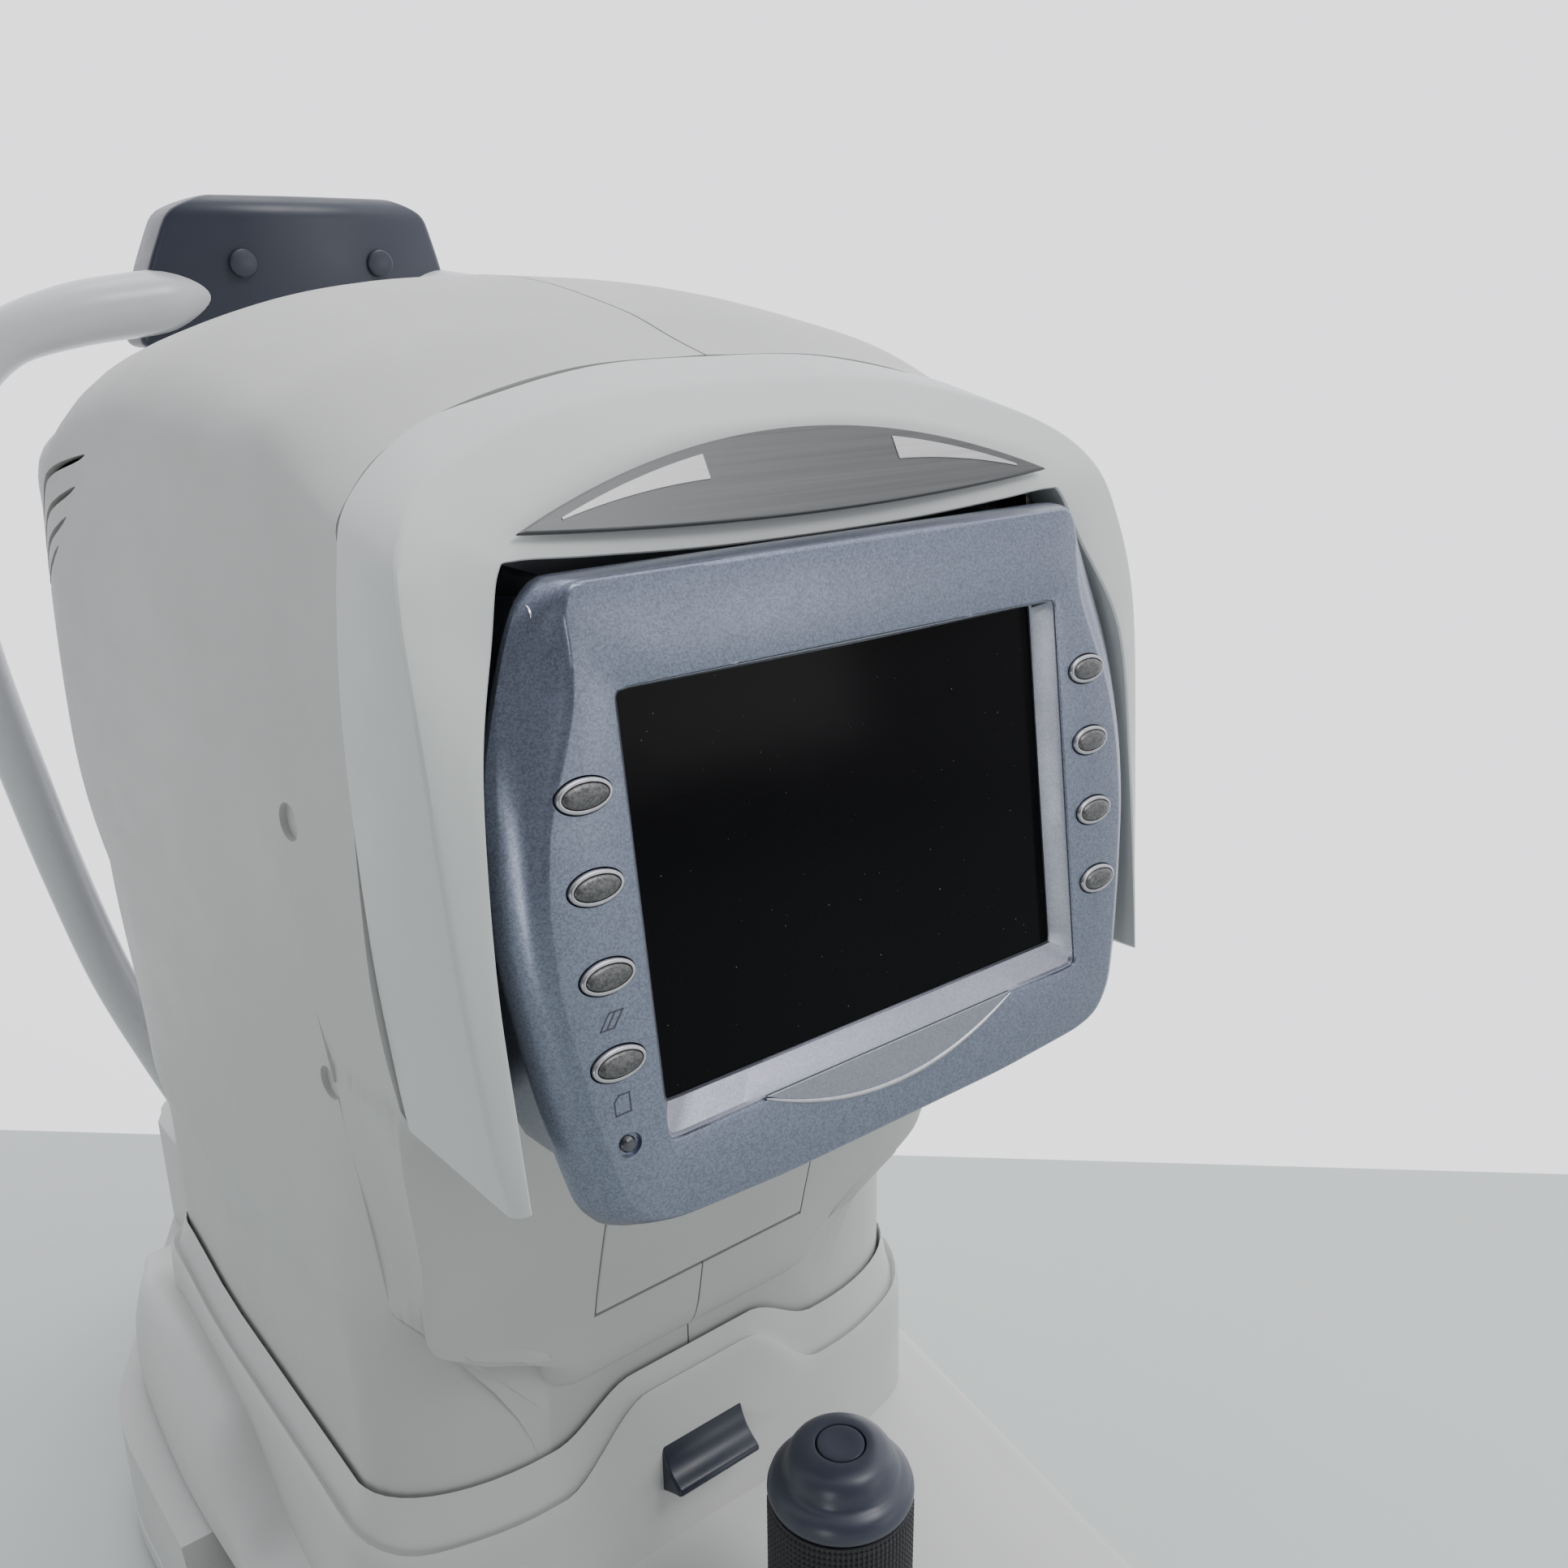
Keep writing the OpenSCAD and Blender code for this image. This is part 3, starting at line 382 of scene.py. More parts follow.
def glossy(name, colour, rough, coat=0.6, specks=True):
    """A gloss panel with faint dust and finger marks."""
    material, nodes, links, shader, vector = base_material(name, colour, rough)
    smear = noise(nodes, links, vector, 30, 4, stretch=(1, 0.4, 1.6), rough=0.6)
    links.new(ranged(nodes, links, smear, rough, rough + 0.06, 0.45, 0.8), shader.inputs["Roughness"])
    if specks:
        dust = noise(nodes, links, vector, 1500, 1)
        links.new(
            blended(nodes, links, ranged(nodes, links, dust, 0, 1, 0.79, 0.84), colour, (0.16, 0.16, 0.17)),
            shader.inputs["Base Color"],
        )
    shader.inputs["Coat Weight"].default_value = coat
    shader.inputs["Coat Roughness"].default_value = 0.04
    return material


MATERIALS = {}


def make(kind, name, *values, **settings):
    MATERIALS[name] = kind(name, *values, **settings)


make(moulded, "casing", (0.45, 0.455, 0.44), 0.5, grain=560, height=0.06, strength=0.3)
make(moulded, "base_white", (0.50, 0.505, 0.49), 0.5, grain=560, height=0.05, strength=0.3)
make(moulded, "frame_white", (0.55, 0.56, 0.57), 0.3, grain=300, height=0.02, strength=0.12, coat=0.3)
make(moulded, "slate_plastic", (0.027, 0.032, 0.05), 0.36, grain=800, height=0.03, strength=0.3)
make(moulded, "black_rubber", (0.012, 0.0125, 0.015), 0.55, grain=900, height=0.04, strength=0.4)
make(moulded, "navy_plastic", (0.004, 0.008, 0.022), 0.3, grain=700, height=0.02, strength=0.2)
make(brushed, "nameplate_silver", (0.10, 0.103, 0.103), 0.4, stretch=(5, 700, 700), strength=0.2)
make(flaked, "display_paint", (0.15, 0.172, 0.225), 0.31)
make(moulded, "dark_plastic", (0.03, 0.032, 0.038), 0.45, grain=700, height=0.03, strength=0.3)
make(glossy, "screen_gloss", (0.0015, 0.0015, 0.002), 0.12, coat=0.0)
make(moulded, "paper", (0.82, 0.82, 0.80), 0.8, grain=1500, height=0.02, strength=0.4)
make(brushed, "sheet_steel", (0.45, 0.45, 0.45), 0.4, stretch=(300, 8, 300))
make(brushed, "bright_steel", (0.58, 0.59, 0.61), 0.2, stretch=(200, 200, 14), strength=0.1)
make(brushed, "brass", (0.6, 0.44, 0.2), 0.3, stretch=(20, 200, 200), strength=0.12)
make(moulded, "cast_metal", (0.36, 0.37, 0.385), 0.45, grain=450, height=0.06, strength=0.35)
make(brushed, "satin_metal", (0.55, 0.56, 0.58), 0.34, stretch=(200, 14, 200), strength=0.15)
make(moulded, "circuit_board", (0.012, 0.075, 0.035), 0.35, grain=300, height=0.02, strength=0.2)
make(flaked, "key_metallic", (0.1, 0.1, 0.1), 0.4, metal=0.85, flake=2200, contrast=0.35)
MATERIALS["screen_gloss"].node_tree.nodes["Principled BSDF"].inputs["Specular IOR Level"].default_value = 0.06
MATERIALS["cast_metal"].node_tree.nodes["Principled BSDF"].inputs["Metallic"].default_value = 0.8
strip_silver = flaked("strip_silver", (0.24, 0.25, 0.295), 0.33, metal=0.8, flake=3000, contrast=0.12)
inlay_silver = brushed("inlay_silver", (0.40, 0.40, 0.40), 0.45, stretch=(5, 500, 500), strength=0.1)
key_rim = brushed("key_rim", (0.42, 0.42, 0.44), 0.3, stretch=(200, 200, 200), strength=0.05)
hood_grain = moulded("hood_grain", (0.52, 0.545, 0.53), 0.5, grain=430, height=0.1, strength=0.42)
lens_glass = glossy("lens_glass", (0.01, 0.012, 0.02), 0.03, coat=1.0, specks=False)
mark_paint = moulded("mark_paint", (0.03, 0.033, 0.045), 0.4, grain=700, height=0.01, strength=0.1)


def give(obj, body, slot, *nodes, material=None):
    """Puts a finished piece on its body, with its material and the CAD nodes it stands for."""
    obj.data.materials.clear()
    obj.data.materials.append(material or MATERIALS[slot])
    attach(obj, body)
    if nodes:
        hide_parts(*nodes)
    return obj


for part in frame["record"]["subparts"]:
    node_object = frame["nodes"][part["node"]]
    node_object.data.materials.clear()
    node_object.data.materials.append(MATERIALS[part["material_slot"]])


# ---------- head casings ----------

HEAD_FRONT, HEAD_REAR = -90, 132
NECK_FRONT = -56.0
NECK_HALF = 51
NECK_BEND_X, NECK_BEND_Y = 44, 24.5
NECK_SIDE_START = -31.5
SHELL_WALL = 2.6
SEAM_LINE = [(377, 0), (390.5, 2.6), (402, 7.5), (413, 12.2), (420, 15.2)]
top_z = smooth(
    [(-110, 402), (-90, 409.5), (-77.7, 413), (-41.5, 423), (5.5, 430.5), (27.5, 431.4), (60, 428), (85, 420),
     (108, 405), (120, 394), (132, 378)]
)
shoulder_drop = smooth([(-110, 20), (-90, 20), (0, 30), (90, 30), (108, 22), (132, 12)])
panel_x = smooth([(-110, 77), (-90, 77), (0, 68), (90, 60), (132, 66)])
upper_w = smooth([(-110, 99.5), (-90, 100), (-40, 103), (20, 106), (90, 107), (118, 104), (132, 97)])
chin_w = smooth([(-110, 86), (-75, 87), (-60, 90), (-46, 94), (-31, 96.5), (0, 98), (60, 99), (110, 98), (132, 92)])
under_z = smooth([(-110, 250), (-92, 250), (-88, 246), (-80, 214), (-72, 186), (-66, 162), (-61, 138.5), (-57.5, 132),
                  (-56.05, 130.5), (-56, 76), (140, 76)])


def neck_w(y):
    """Half the width of the neck at y."""
    if y < NECK_FRONT:
        return NECK_HALF
    if y < NECK_SIDE_START:
        return NECK_HALF + NECK_BEND_X * math.sqrt(max(0.0, 1 - ((NECK_SIDE_START - y) / NECK_BEND_Y) ** 2))
    return 95 - 3 * ease((y - 60) / 72)


def barrel(z):
    """How far the side curves in at height z."""
    return (z - 300) ** 2 * (0.0006 if z > 300 else 0.0022)


def side_w(y, z):
    """Half the width of the head at y and z."""
    if z >= 255:
        return upper_w(y) - barrel(z)
    if z >= 183:
        return mix(chin_w(y), upper_w(y) - barrel(255), ease((z - 183) / 72))
    return mix(neck_w(y), chin_w(y), ease((z - 150) / 33))


def seam_plane(z):
    """Place along Y of the seam between hood and casings at height z."""
    for (z0, d0), (z1, d1) in zip(SEAM_LINE, SEAM_LINE[1:]):
        if z <= z1:
            return HEAD_FRONT + d0 + (d1 - d0) * max(0.0, (z - z0) / (z1 - z0))
    return HEAD_FRONT + SEAM_LINE[-1][1]


def tail_inset(y):
    """The rounding of the rear edge, radius 7."""
    return 7 - math.sqrt(max(0.0, 49 - max(0.0, y - 125) ** 2))


SEAM_LEAN = 12.3
FRONT_BLEND = 46
WINDOW_HALF, WINDOW_END = 37.3, -65.1
HOOD_EDGE = [(0, 0), (34, 1.2), (64, 7.1), (84, 15.5), (95, 26), (98.4, 34)]


def head_profile(y):
    """The right half of the head's cross-section, from the crown round to the middle of the underside."""
    inset = tail_inset(y)
    front = 1 - ease((y - HEAD_FRONT) / FRONT_BLEND)
    zt = top_z(y + SEAM_LEAN * front) - inset
    zs = zt - shoulder_drop(y)
    xs = panel_x(y) - inset
    zb = under_z(y)
    w_s = side_w(y, zs) - inset
    free = [(0, 0, zt), (xs * 0.5, 0, zt - 1.6), (xs * 0.93, 0, zt - 6.5),
            (mix(xs, w_s, 0.62), 0, mix(zt - 8, zs, 0.36)), (w_s - 0.6, 0, zs + 2),
            (side_w(y, zs - 14) - inset, 0, zs - 14)]
    at_hood = [(x, 0, zt - drop) for x, drop in HOOD_EDGE]
    at_hood[-1] = free[-1]
    shoulder = through([Vector(a).lerp(Vector(b), front) for a, b in zip(free, at_hood)], 6)
    corner = 13.0 if zb > 90 else 3.0
    low = zb + corner
    side = []
    count = 60
    for j in range(1, count + 1):
        z = mix(zs - 14, low, j / count)
        side.append(Vector((side_w(y, z) - inset, 0, z)))
    wb = side_w(y, low) - inset
    bend = [
        Vector((wb - corner * (1 - math.cos(a)), 0, low - corner * math.sin(a)))
        for a in (math.pi / 2 * k / 6 for k in range(1, 7))
    ]
    inner = wb - corner
    under = [Vector((mix(inner, WINDOW_HALF, k / 5), 0, zb)) for k in range(1, 6)]
    under += [Vector((mix(WINDOW_HALF, 0, k / 4), 0, zb)) for k in range(1, 5)]
    return shoulder + side + bend + under


WINDOW_COLUMN = 4
casing_rows_y = [-90, -88.6, -87, -85, -83, -81, -79, -77, -75, -73, -71, -69, -67, -65.1, -63.5, -62, -60.5, -59, -58,
                 -57.2, -56.6, -56.3, -56.05, -56, -55.9, -55.6, -55, -54, -52.5, -50.5, -48, -45, -42, -38, -34, -31.5,
                 -27, -20, -10, 2, 14, 26, 38, 50, 62, 74, 86, 96, 104, 111, 117, 121, 125, 127.5, 129.5, 131, 131.8,
                 132]


def place_on_seam(point, y):
    """Shifts a point at nominal station y so that the first station lies on the seam."""
    z = point[2]
    blend_out = 1 - ease((y - HEAD_FRONT) / FRONT_BLEND)
    return Vector((point[0], y + (seam_plane(z) - HEAD_FRONT + SEAM) * blend_out, z))


def rear_hole(point, inset):
    """Where the ray from the middle of the head's rear through a point meets the rear opening."""
    edge = [(0, 366 - inset), (70 - inset, 366 - inset), (90 - inset, 346 - inset * 0.5), (96 - inset, 300),
            (92 - inset, 230), (86 - inset, 150 + inset), (0, 150 + inset)]
    cx, cz = 0.0, 258.0
    dx, dz = point[0] - cx, point[2] - cz
    best = None
    for (x0, z0), (x1, z1) in zip(edge, edge[1:]):
        ex, ez = x1 - x0, z1 - z0
        det = dx * -ez + dz * ex
        if abs(det) < 1e-9:
            continue
        t = ((x0 - cx) * -ez + (z0 - cz) * ex) / det
        u = (dx * (z0 - cz) - dz * (x0 - cx)) / det
        if t > 0 and -1e-6 <= u <= 1 + 1e-6:
            best = t if best is None else min(best, t)
    # The opening stays inside the shell's own edge.
    t = min(best or 1, 1 - 0.004 * inset)
    return Vector((cx + dx * t, 0, cz + dz * t))


head_rows = []
for station in casing_rows_y:
    head_rows.append([place_on_seam(p, station) for p in head_profile(station)])
for inset, y in ((6, HEAD_REAR), (6, HEAD_REAR - 6), (9, HEAD_REAR - 6)):
    rim_points = [rear_hole(p, inset) for p in head_profile(HEAD_REAR)]
    head_rows.append([Vector((p.x, y, p.z)) for p in rim_points])
columns = len(head_rows[0])
window_rows = sum(1 for y in casing_rows_y if y <= WINDOW_END) - 1


def casing_half(name, sign):
    rows = [[Vector((max(p[0], SEAM * 0.7) * sign, p[1], p[2])) for p in row] for row in head_rows]

    def keep(j, i):
        """All but the window that the front cover fills."""
        return j >= window_rows or i < columns - 1 - WINDOW_COLUMN

    obj = grid(name, rows, keep=keep, angle=50)
    modify(obj, "SOLIDIFY", thickness=SHELL_WALL * MM, offset=-1.0, use_even_offset=False)
    return obj


def side_cutter(y, z, radius, sign, depth):
    """A round cutter that goes depth into the side of the head."""
    x = side_w(y, z)
    start = Vector((sign * (x - depth) * MM, y * MM, z * MM))
    place = Matrix.Translation(start) @ Matrix.Rotation(sign * math.pi / 2, 4, "Y")
    return prism("cutter", ellipse(radius, radius, 32), 0, depth + 12, place)


def slot_cutter(k, sign):
    """One of the curved cooling slits that run over the shoulder and down towards the rear edge."""
    path = through([(58 + 11 * k, 387.5 - 9.2 * k), (96 + 7 * k, 378.5 - 11.5 * k), (119 + 2.4 * k, 362 - 13 * k)], 7)
    left, right = [], []
    for i, p in enumerate(path):
        along = (path[min(i + 1, len(path) - 1)] - path[max(i - 1, 0)]).normalized()
        half = SLIT_HALF_WIDTH * math.sqrt(max(0.05, 1 - (2 * i / (len(path) - 1) - 1) ** 4))
        left.append(p + Vector((-along.y, along.x)) * half)
        right.append(p - Vector((-along.y, along.x)) * half)
    low, high = sorted((sign * 78, sign * 125))
    return prism("cutter", left + right[::-1], low, high, ALONG_X)


def widest(obj):
    """The largest distance of an object's mesh from the plane of symmetry."""
    return max((abs(v.co.x) for v in obj.data.vertices), default=0)


# Painted shade: a dark plastic strip just inside the seam between hood and casings, offset inwards, so the seam gap
# shows as a dark line where there would only be shadow.
SHADE_STRIP_MID_Z = 320
seam_shade_rows = []
for depth, shift in ((3.2, -3.5), (3.2, 4.5), (4.4, 4.5), (4.4, -3.5)):
    row = []
    for p in head_rows[0][: columns - WINDOW_COLUMN - 6]:
        scale = 1 - depth / max(40.0, math.hypot(p.x, p.z - SHADE_STRIP_MID_Z))
        row.append(Vector((p.x * scale, p.y + shift, SHADE_STRIP_MID_Z + (p.z - SHADE_STRIP_MID_Z) * scale)))
    seam_shade_rows.append(row)
seam_shade_rows.append(seam_shade_rows[0])
seam_shade_strip = grid("painted_seam_shade", seam_shade_rows, mirror=True, angle=30)
give(seam_shade_strip, "head", "dark_plastic")
# Painted shade: a thin dark strip just under the crown seam between the two casings, so that gap also reads as a dark
# line.
crown = [(y, top_z(y) - 3.0) for y in range(-72, 120, 8)]
crown_low = [(y, z - 1.2) for y, z in reversed(crown)]
give(prism("painted_crown_shade", crown + crown_low, -2.2, 2.2, ALONG_X), "head", "dark_plastic")

SCREW_SPOTS = ((-58, 318), (-52, 249))
RECESS_RADIUS, RECESS_DEPTH = 4.43, 1.31
SLITS, SLIT_HALF_WIDTH = 4, 0.95

for sign, name, node in ((-1, "casing_left_shell", "casing_left"), (1, "casing_right_shell", "casing_right")):
    shell = casing_half(name, sign)
    settle(shell)
    for y, z in SCREW_SPOTS:
        cut(shell, [side_cutter(y, z, RECESS_RADIUS, sign, RECESS_DEPTH)])
    for k in range(SLITS):
        # A slit whose cut empties or widens the shell is left out.
        whole, reach = shell.data.copy(), widest(shell)
        cut(shell, [slot_cutter(k, sign)])
        if not shell.data.vertices or widest(shell) > reach + 1e-5:
            shell.data = whole
    shade(shell, 40)
    give(shell, "head", "casing", node)

# ---------- hood and front cover ----------

HOOD_STATIONS = [
    [(0, -117.5, 376.6), (0, -106, 400.6), (0, -94.5, 408), (0, 413)],
    [(30, -117.6, 377), (31, -106.5, 399), (31, -95, 407.3), (30, 412.2)],
    [(58, -117.8, 378.5), (60, -109, 393), (60, -98, 403), (57, 407.5)],
    [(74, -118, 379.6), (79, -113, 387), (84, -105, 395), (77, 402)],
    [(78, -118.6, 378), (87, -116, 382), (95, -113, 386), (93, 390.5)],
    [(82, -122, 367), (90.5, -120.5, 370.5), (99, -119, 374), (98, 377)],
    [(90, -130, 344), (95, -128, 347), (100.3, -126, 350), (100.3, 345)],
    [(92.8, -134.5, 307), (96, -133, 307), (99.5, -131, 307), (99.5, 300)],
    [(92.8, -138.5, 275), (95, -137, 274), (97.5, -134.5, 273), (97, 268)],
    [(92.6, -140.5, 258), (94, -139, 257), (95.4, -136, 256), (95.4, 254)],
]
HOOD_WALL = 2.6


def hood_tracks():
    """Six smooth edges of the hood, each from the left cheek over the crown to the right cheek."""
    halves = [[] for _ in range(6)]
    for lip, front, rear, (sx, sz) in HOOD_STATIONS:
        seam = Vector((sx, seam_plane(sz) - SEAM, sz))
        inward = Vector((0, 0, -1)) if sz > 385 else Vector((-sx, 0, 300 - sz)).normalized()
        inner = seam + inward * HOOD_WALL
        inner.y = seam_plane(inner.z) - SEAM
        lip = Vector(lip)
        inner_lip = lip + Vector((0, 12, 1.5 if lip.z > 376 else 0))
        for half, point in zip(halves, (seam, Vector(rear), Vector(front), lip, inner_lip, inner)):
            half.append(point)
    tracks = []
    for half in halves:
        left = [Vector((-p.x, p.y, p.z)) for p in reversed(half[1:])]
        tracks.append(through(left + half, 9))
    return tracks


hood_rows = [rounded(list(ring), 1.5, steps=3, closed=True) for ring in zip(*hood_tracks())]
hood_piece = grid("hood_shell", hood_rows, closed=True, caps=(True, True), angle=26)
give(hood_piece, "head", "casing", "hood", material=hood_grain)

cover_y = [-90, -88.4, -87] + list(range(-85, -66, 2)) + [-65.3]
cover_outer = [Vector((y, under_z(y))) for y in cover_y]
cover_inner = []
for i, p in enumerate(cover_outer):
    along = (cover_outer[min(i + 1, len(cover_outer) - 1)] - cover_outer[max(i - 1, 0)]).normalized()
    cover_inner.append(p + Vector((-along.y, along.x)) * SHELL_WALL)
front_piece = prism("front_cover_panel", cover_outer + cover_inner[::-1], -36.8, 36.8, ALONG_X)
soften(front_piece, 0.5, 2, 40)
give(front_piece, "head", "casing", "front_cover")


# ---------- display ----------

LEAN = math.radians(8)
SCREEN_Y, SCREEN_Z = -137.5, 313
DISPLAY = Matrix(
    (
        (1, 0, 0, 0),
        (0, math.sin(LEAN), -math.cos(LEAN), SCREEN_Y),
        (0, math.cos(LEAN), math.sin(LEAN), SCREEN_Z),
        (0, 0, 0, 1),
    )
)


def in_metres(matrix):
    """The same placement for meshes that are already in metres."""
    return Matrix.Scale(MM, 4) @ matrix @ Matrix.Scale(1 / MM, 4)


DISPLAY_M = in_metres(DISPLAY)


def on_display(u, v, n):
    return DISPLAY @ Vector((u, v, n))


RING_CENTRE = Vector((0, -2))


def spokes(outline, angles):
    """The points where rays from the display's centre at these angles meet a closed outline."""
    pts = []
    for a in angles:
        d = Vector((math.cos(a), math.sin(a)))
        best = 0
        for p, q in zip(outline, outline[1:] + outline[:1]):
            e = q - p
            det = d.x * -e.y + d.y * e.x
            if abs(det) < 1e-9:
                continue
            w = p - RING_CENTRE
            t = (w.x * -e.y + w.y * e.x) / det
            s = (d.x * w.y - d.y * w.x) / det
            if t > 0 and -1e-6 <= s <= 1 + 1e-6:
                best = max(best, t)
        pts.append(RING_CENTRE + d * best)
    return pts


def rectangle(u0, u1, v0, v1):
    return [Vector(p) for p in ((u0, v1), (u1, v1), (u1, v0), (u0, v0))]


def full_outline(half):
    """A half outline from the top round to the bottom, with its mirror image."""
    return [Vector(p) for p in half] + [Vector((-p[0], p[1])) for p in reversed(half)]


def bezel_outline(inset):
    half = [(72, 66 - inset), (76.5, 62), (80.3, 54.5), (84.5, 43), (88.3, 31), (90.3, 10), (90.5, -6), (87, -32),
            (84, -48), (81, -60 + inset), (76, -66 + inset), (66, -68 + inset)]
    half = [(u - inset, v) for u, v in half] + [(34, -69.5 + inset)]
    return rounded(full_outline(half), 7, steps=5, closed=True)


face_half = [(70, 64.3), (71.6, 60), (71.2, 52), (72.3, 42), (77, 30), (81, 20), (83.4, 5), (83.4, -12), (80.5, -32),
             (77.5, -48), (75, -58), (70, -64.6), (62, -66.6), (34, -68)]
face_outline = rounded(full_outline(face_half), 6, steps=5, closed=True)
opening = rounded(rectangle(-62.7, 62.7, -49.5, 43.5), 2.2, steps=5, closed=True)
corner_angles = [math.atan2(v - RING_CENTRE.y, u) for u, v in ((62, 42.8), (-62, 42.8), (-62, -48.8), (62, -48.8))]
spoke_angles = sorted([2 * math.pi * k / 288 - math.pi for k in range(288)] + corner_angles)


def display_ring(outline, n, shrink=0.0):
    """A closed row of points on an outline, shrunk towards the centre, at distance n from the display's face."""
    ring = []
    for p in spokes(outline, spoke_angles):
        p = p - (p - RING_CENTRE).normalized() * shrink
        ring.append(on_display(p.x, p.y, n))
    return ring


outer = bezel_outline(0)
frame_rows = [
    display_ring(opening, -9.9),
    display_ring(opening, -0.5),
    display_ring(opening, -0.1, -0.35),
    display_ring(opening, 0.0, -0.9),
    display_ring(face_outline, 0.0, 0.9),
    display_ring(face_outline, -0.12, 0.25),
    display_ring(face_outline, -0.55, -0.3),
]
face_edge, outer_edge = spokes(face_outline, spoke_angles), spokes(outer, spoke_angles)
for k in range(1, 7):
    t = k / 7
    bulge = 1.0 * math.sin(math.pi * t)
    n = mix(-0.4, -7.2, t * t * 0.45 + t * 0.55) + bulge * 0.5
    frame_rows.append([on_display(*mix(p, q, t), n) for p, q in zip(face_edge, outer_edge)])
frame_rows += [
    display_ring(outer, -7.6),
    display_ring(outer, -9.4),
    display_ring(outer, -9.9, 0.5),
    display_ring(opening, -9.9),
]
display_frame = grid("display_frame", frame_rows, closed=True, angle=30)


def display_cutter(outline, low, high, u=0, v=0):
    return prism("cutter", [(p[0] + u, p[1] + v) for p in outline], low, high, DISPLAY_M)


KEY_U, TOP_KEY_V, KEY_PITCH = 72.3, 25, 18
KEY_A, KEY_B, KEY_GAP = 6.25, 3.5, 0.3
LAMP_SPOT = (-72.2, -46.5)
key_spots = [((-1 if k < 4 else 1) * KEY_U, TOP_KEY_V - (k % 4) * KEY_PITCH) for k in range(8)]
cutters = [display_cutter(ellipse(KEY_A + KEY_GAP, KEY_B + KEY_GAP), -12, 3, u, v) for u, v in key_spots]
cutters.append(display_cutter(ellipse(2.9, 2.6), -0.9, 2, *LAMP_SPOT))
cut(display_frame, cutters)
shade(display_frame, 30)
soften(display_frame, 0.35, 2, 42)
give(display_frame, "display", "display_paint", "display_bezel")

screen_edge = rectangle(-59.3, 59.3, -43.4, 43.45)
screen_line = rounded(screen_edge, 0.6, steps=2, closed=True)
silver = grid(
    "screen_frame",
    [
        display_ring(screen_line, -6.6),
        display_ring(screen_line, -5.6),
        display_ring(screen_line, -5.0, -0.35),
        display_ring(opening, -1.6, 0.9),
        display_ring(opening, -0.9, 0.3),
        display_ring(opening, -0.8, -0.1),
        display_ring(opening, -6.6, -0.1),
        display_ring(screen_line, -6.6),
    ],
    closed=True,
    angle=24,
)
give(silver, "display", "display_paint", material=strip_silver)

PULL_HALF = 38.0
pull_top = [(PULL_HALF * t, -48.7) for t in (1 - k / 12 for k in range(25))]
pull_low = [(PULL_HALF * t, -49.0 - 9.0 * (1 - t * t)) for t in (-1 + k / 12 for k in range(25))]
pull = prism("pull_lip", pull_top + pull_low[1:-1], -0.7, 0.3, DISPLAY_M)
soften(pull, 0.28, 3, 50)
give(pull, "display", "display_paint", material=strip_silver)
ridge_u = [PULL_HALF * (-1 + k / 16) for k in range(33)]
ridge = tube(
    "pull_ridge",
    [on_display(u, -49.2 - 9.1 * (1 - (u / PULL_HALF) ** 2), 0.15) for u in ridge_u],
    lambda i, p: 0.2 + 0.45 * math.sin(math.pi * i / 32) ** 0.5,
    sides=12,
)
give(ridge, "display", "display_paint", material=key_rim)
lamp = lathe(
    "ready_lamp",
    [(0, -0.9), (1.6, -0.9), (1.75, -0.5), (1.4, -0.15), (0.8, 0.0), (0, 0.04)],
    LAMP_SPOT,
    turns=32,
    place=DISPLAY_M,
)
give(lamp, "display", "dark_plastic", material=lens_glass)


def line_mark(name, points, width, closed=True):
    """A thin raised line drawing on the display frame."""
    path = [Vector(p) for p in points]
    if closed:
        path = path + [path[0]]
    bm = bmesh.new()
    for p, q in zip(path, path[1:]):
        along = (q - p).normalized() * (width / 2)
        side = Vector((-along.y, along.x))
        corners = [p - along - side, q + along - side, q + along + side, p - along + side]
        rings = [[bm.verts.new(on_display(c.x, c.y, n) * MM) for c in corners] for n in (-0.1, 0.06)]
        bm.faces.new(rings[1])
        walls(bm, *rings)
    obj = shade(new_object(name, bm), 20)
    return give(obj, "display", "display_paint", material=mark_paint)


line_mark("erase_mark", [(-75.4, -21.6), (-72.2, -21.6), (-69.8, -18.4), (-73.0, -18.4)], 0.3)
line_mark("erase_mark_line", [(-74.0, -21.6), (-71.6, -18.4)], 0.3, closed=False)
line_mark("paper_mark", [(-74.4, -39.6), (-70.8, -39.6), (-70.8, -35.6), (-73.2, -35.6), (-74.4, -36.8)], 0.3)

for k, (u, v) in enumerate(key_spots):
    body = "key%d" % (k + 1)
    rim_rows = []
    for shrink, n in ((0, -9.5), (0, 0.4), (0.12, 0.75), (0.45, 0.95), (0.85, 0.9), (1.05, 0.6), (1.05, -0.5)):
        rim_rows.append([on_display(u + x, v + y, n) for x, y in ellipse(KEY_A - shrink, KEY_B - shrink)])
    rim = grid("key_rim_%d" % (k + 1), rim_rows, closed=True, caps=(True, True), angle=40)
    give(rim, body, "key_metallic", "key_%d" % (k + 1), material=key_rim)
    top_rows = []
    for shrink, n in ((1.06, -0.5), (1.06, 0.75), (1.2, 1.0), (1.6, 1.25), (2.3, 1.45), (3.1, 1.56)):
        top_rows.append([on_display(u + x, v + y, n) for x, y in ellipse(KEY_A - shrink, KEY_B - shrink)])
    top = grid("key_top_%d" % (k + 1), top_rows, closed=True, caps=(False, True), angle=60)
    give(top, body, "key_metallic")

back_piece = soft_copy("display_back", 1.6, 3)
give(back_piece, "display", "display_paint", "display_back")


# ---------- nameplate ----------

PLATE = Matrix(
    ((1, 0, 0, 0), (0, 0.4848, -0.8746, -116.2), (0, 0.8746, 0.4848, 384.2), (0, 0, 0, 1))
)
PLATE_M = in_metres(PLATE)


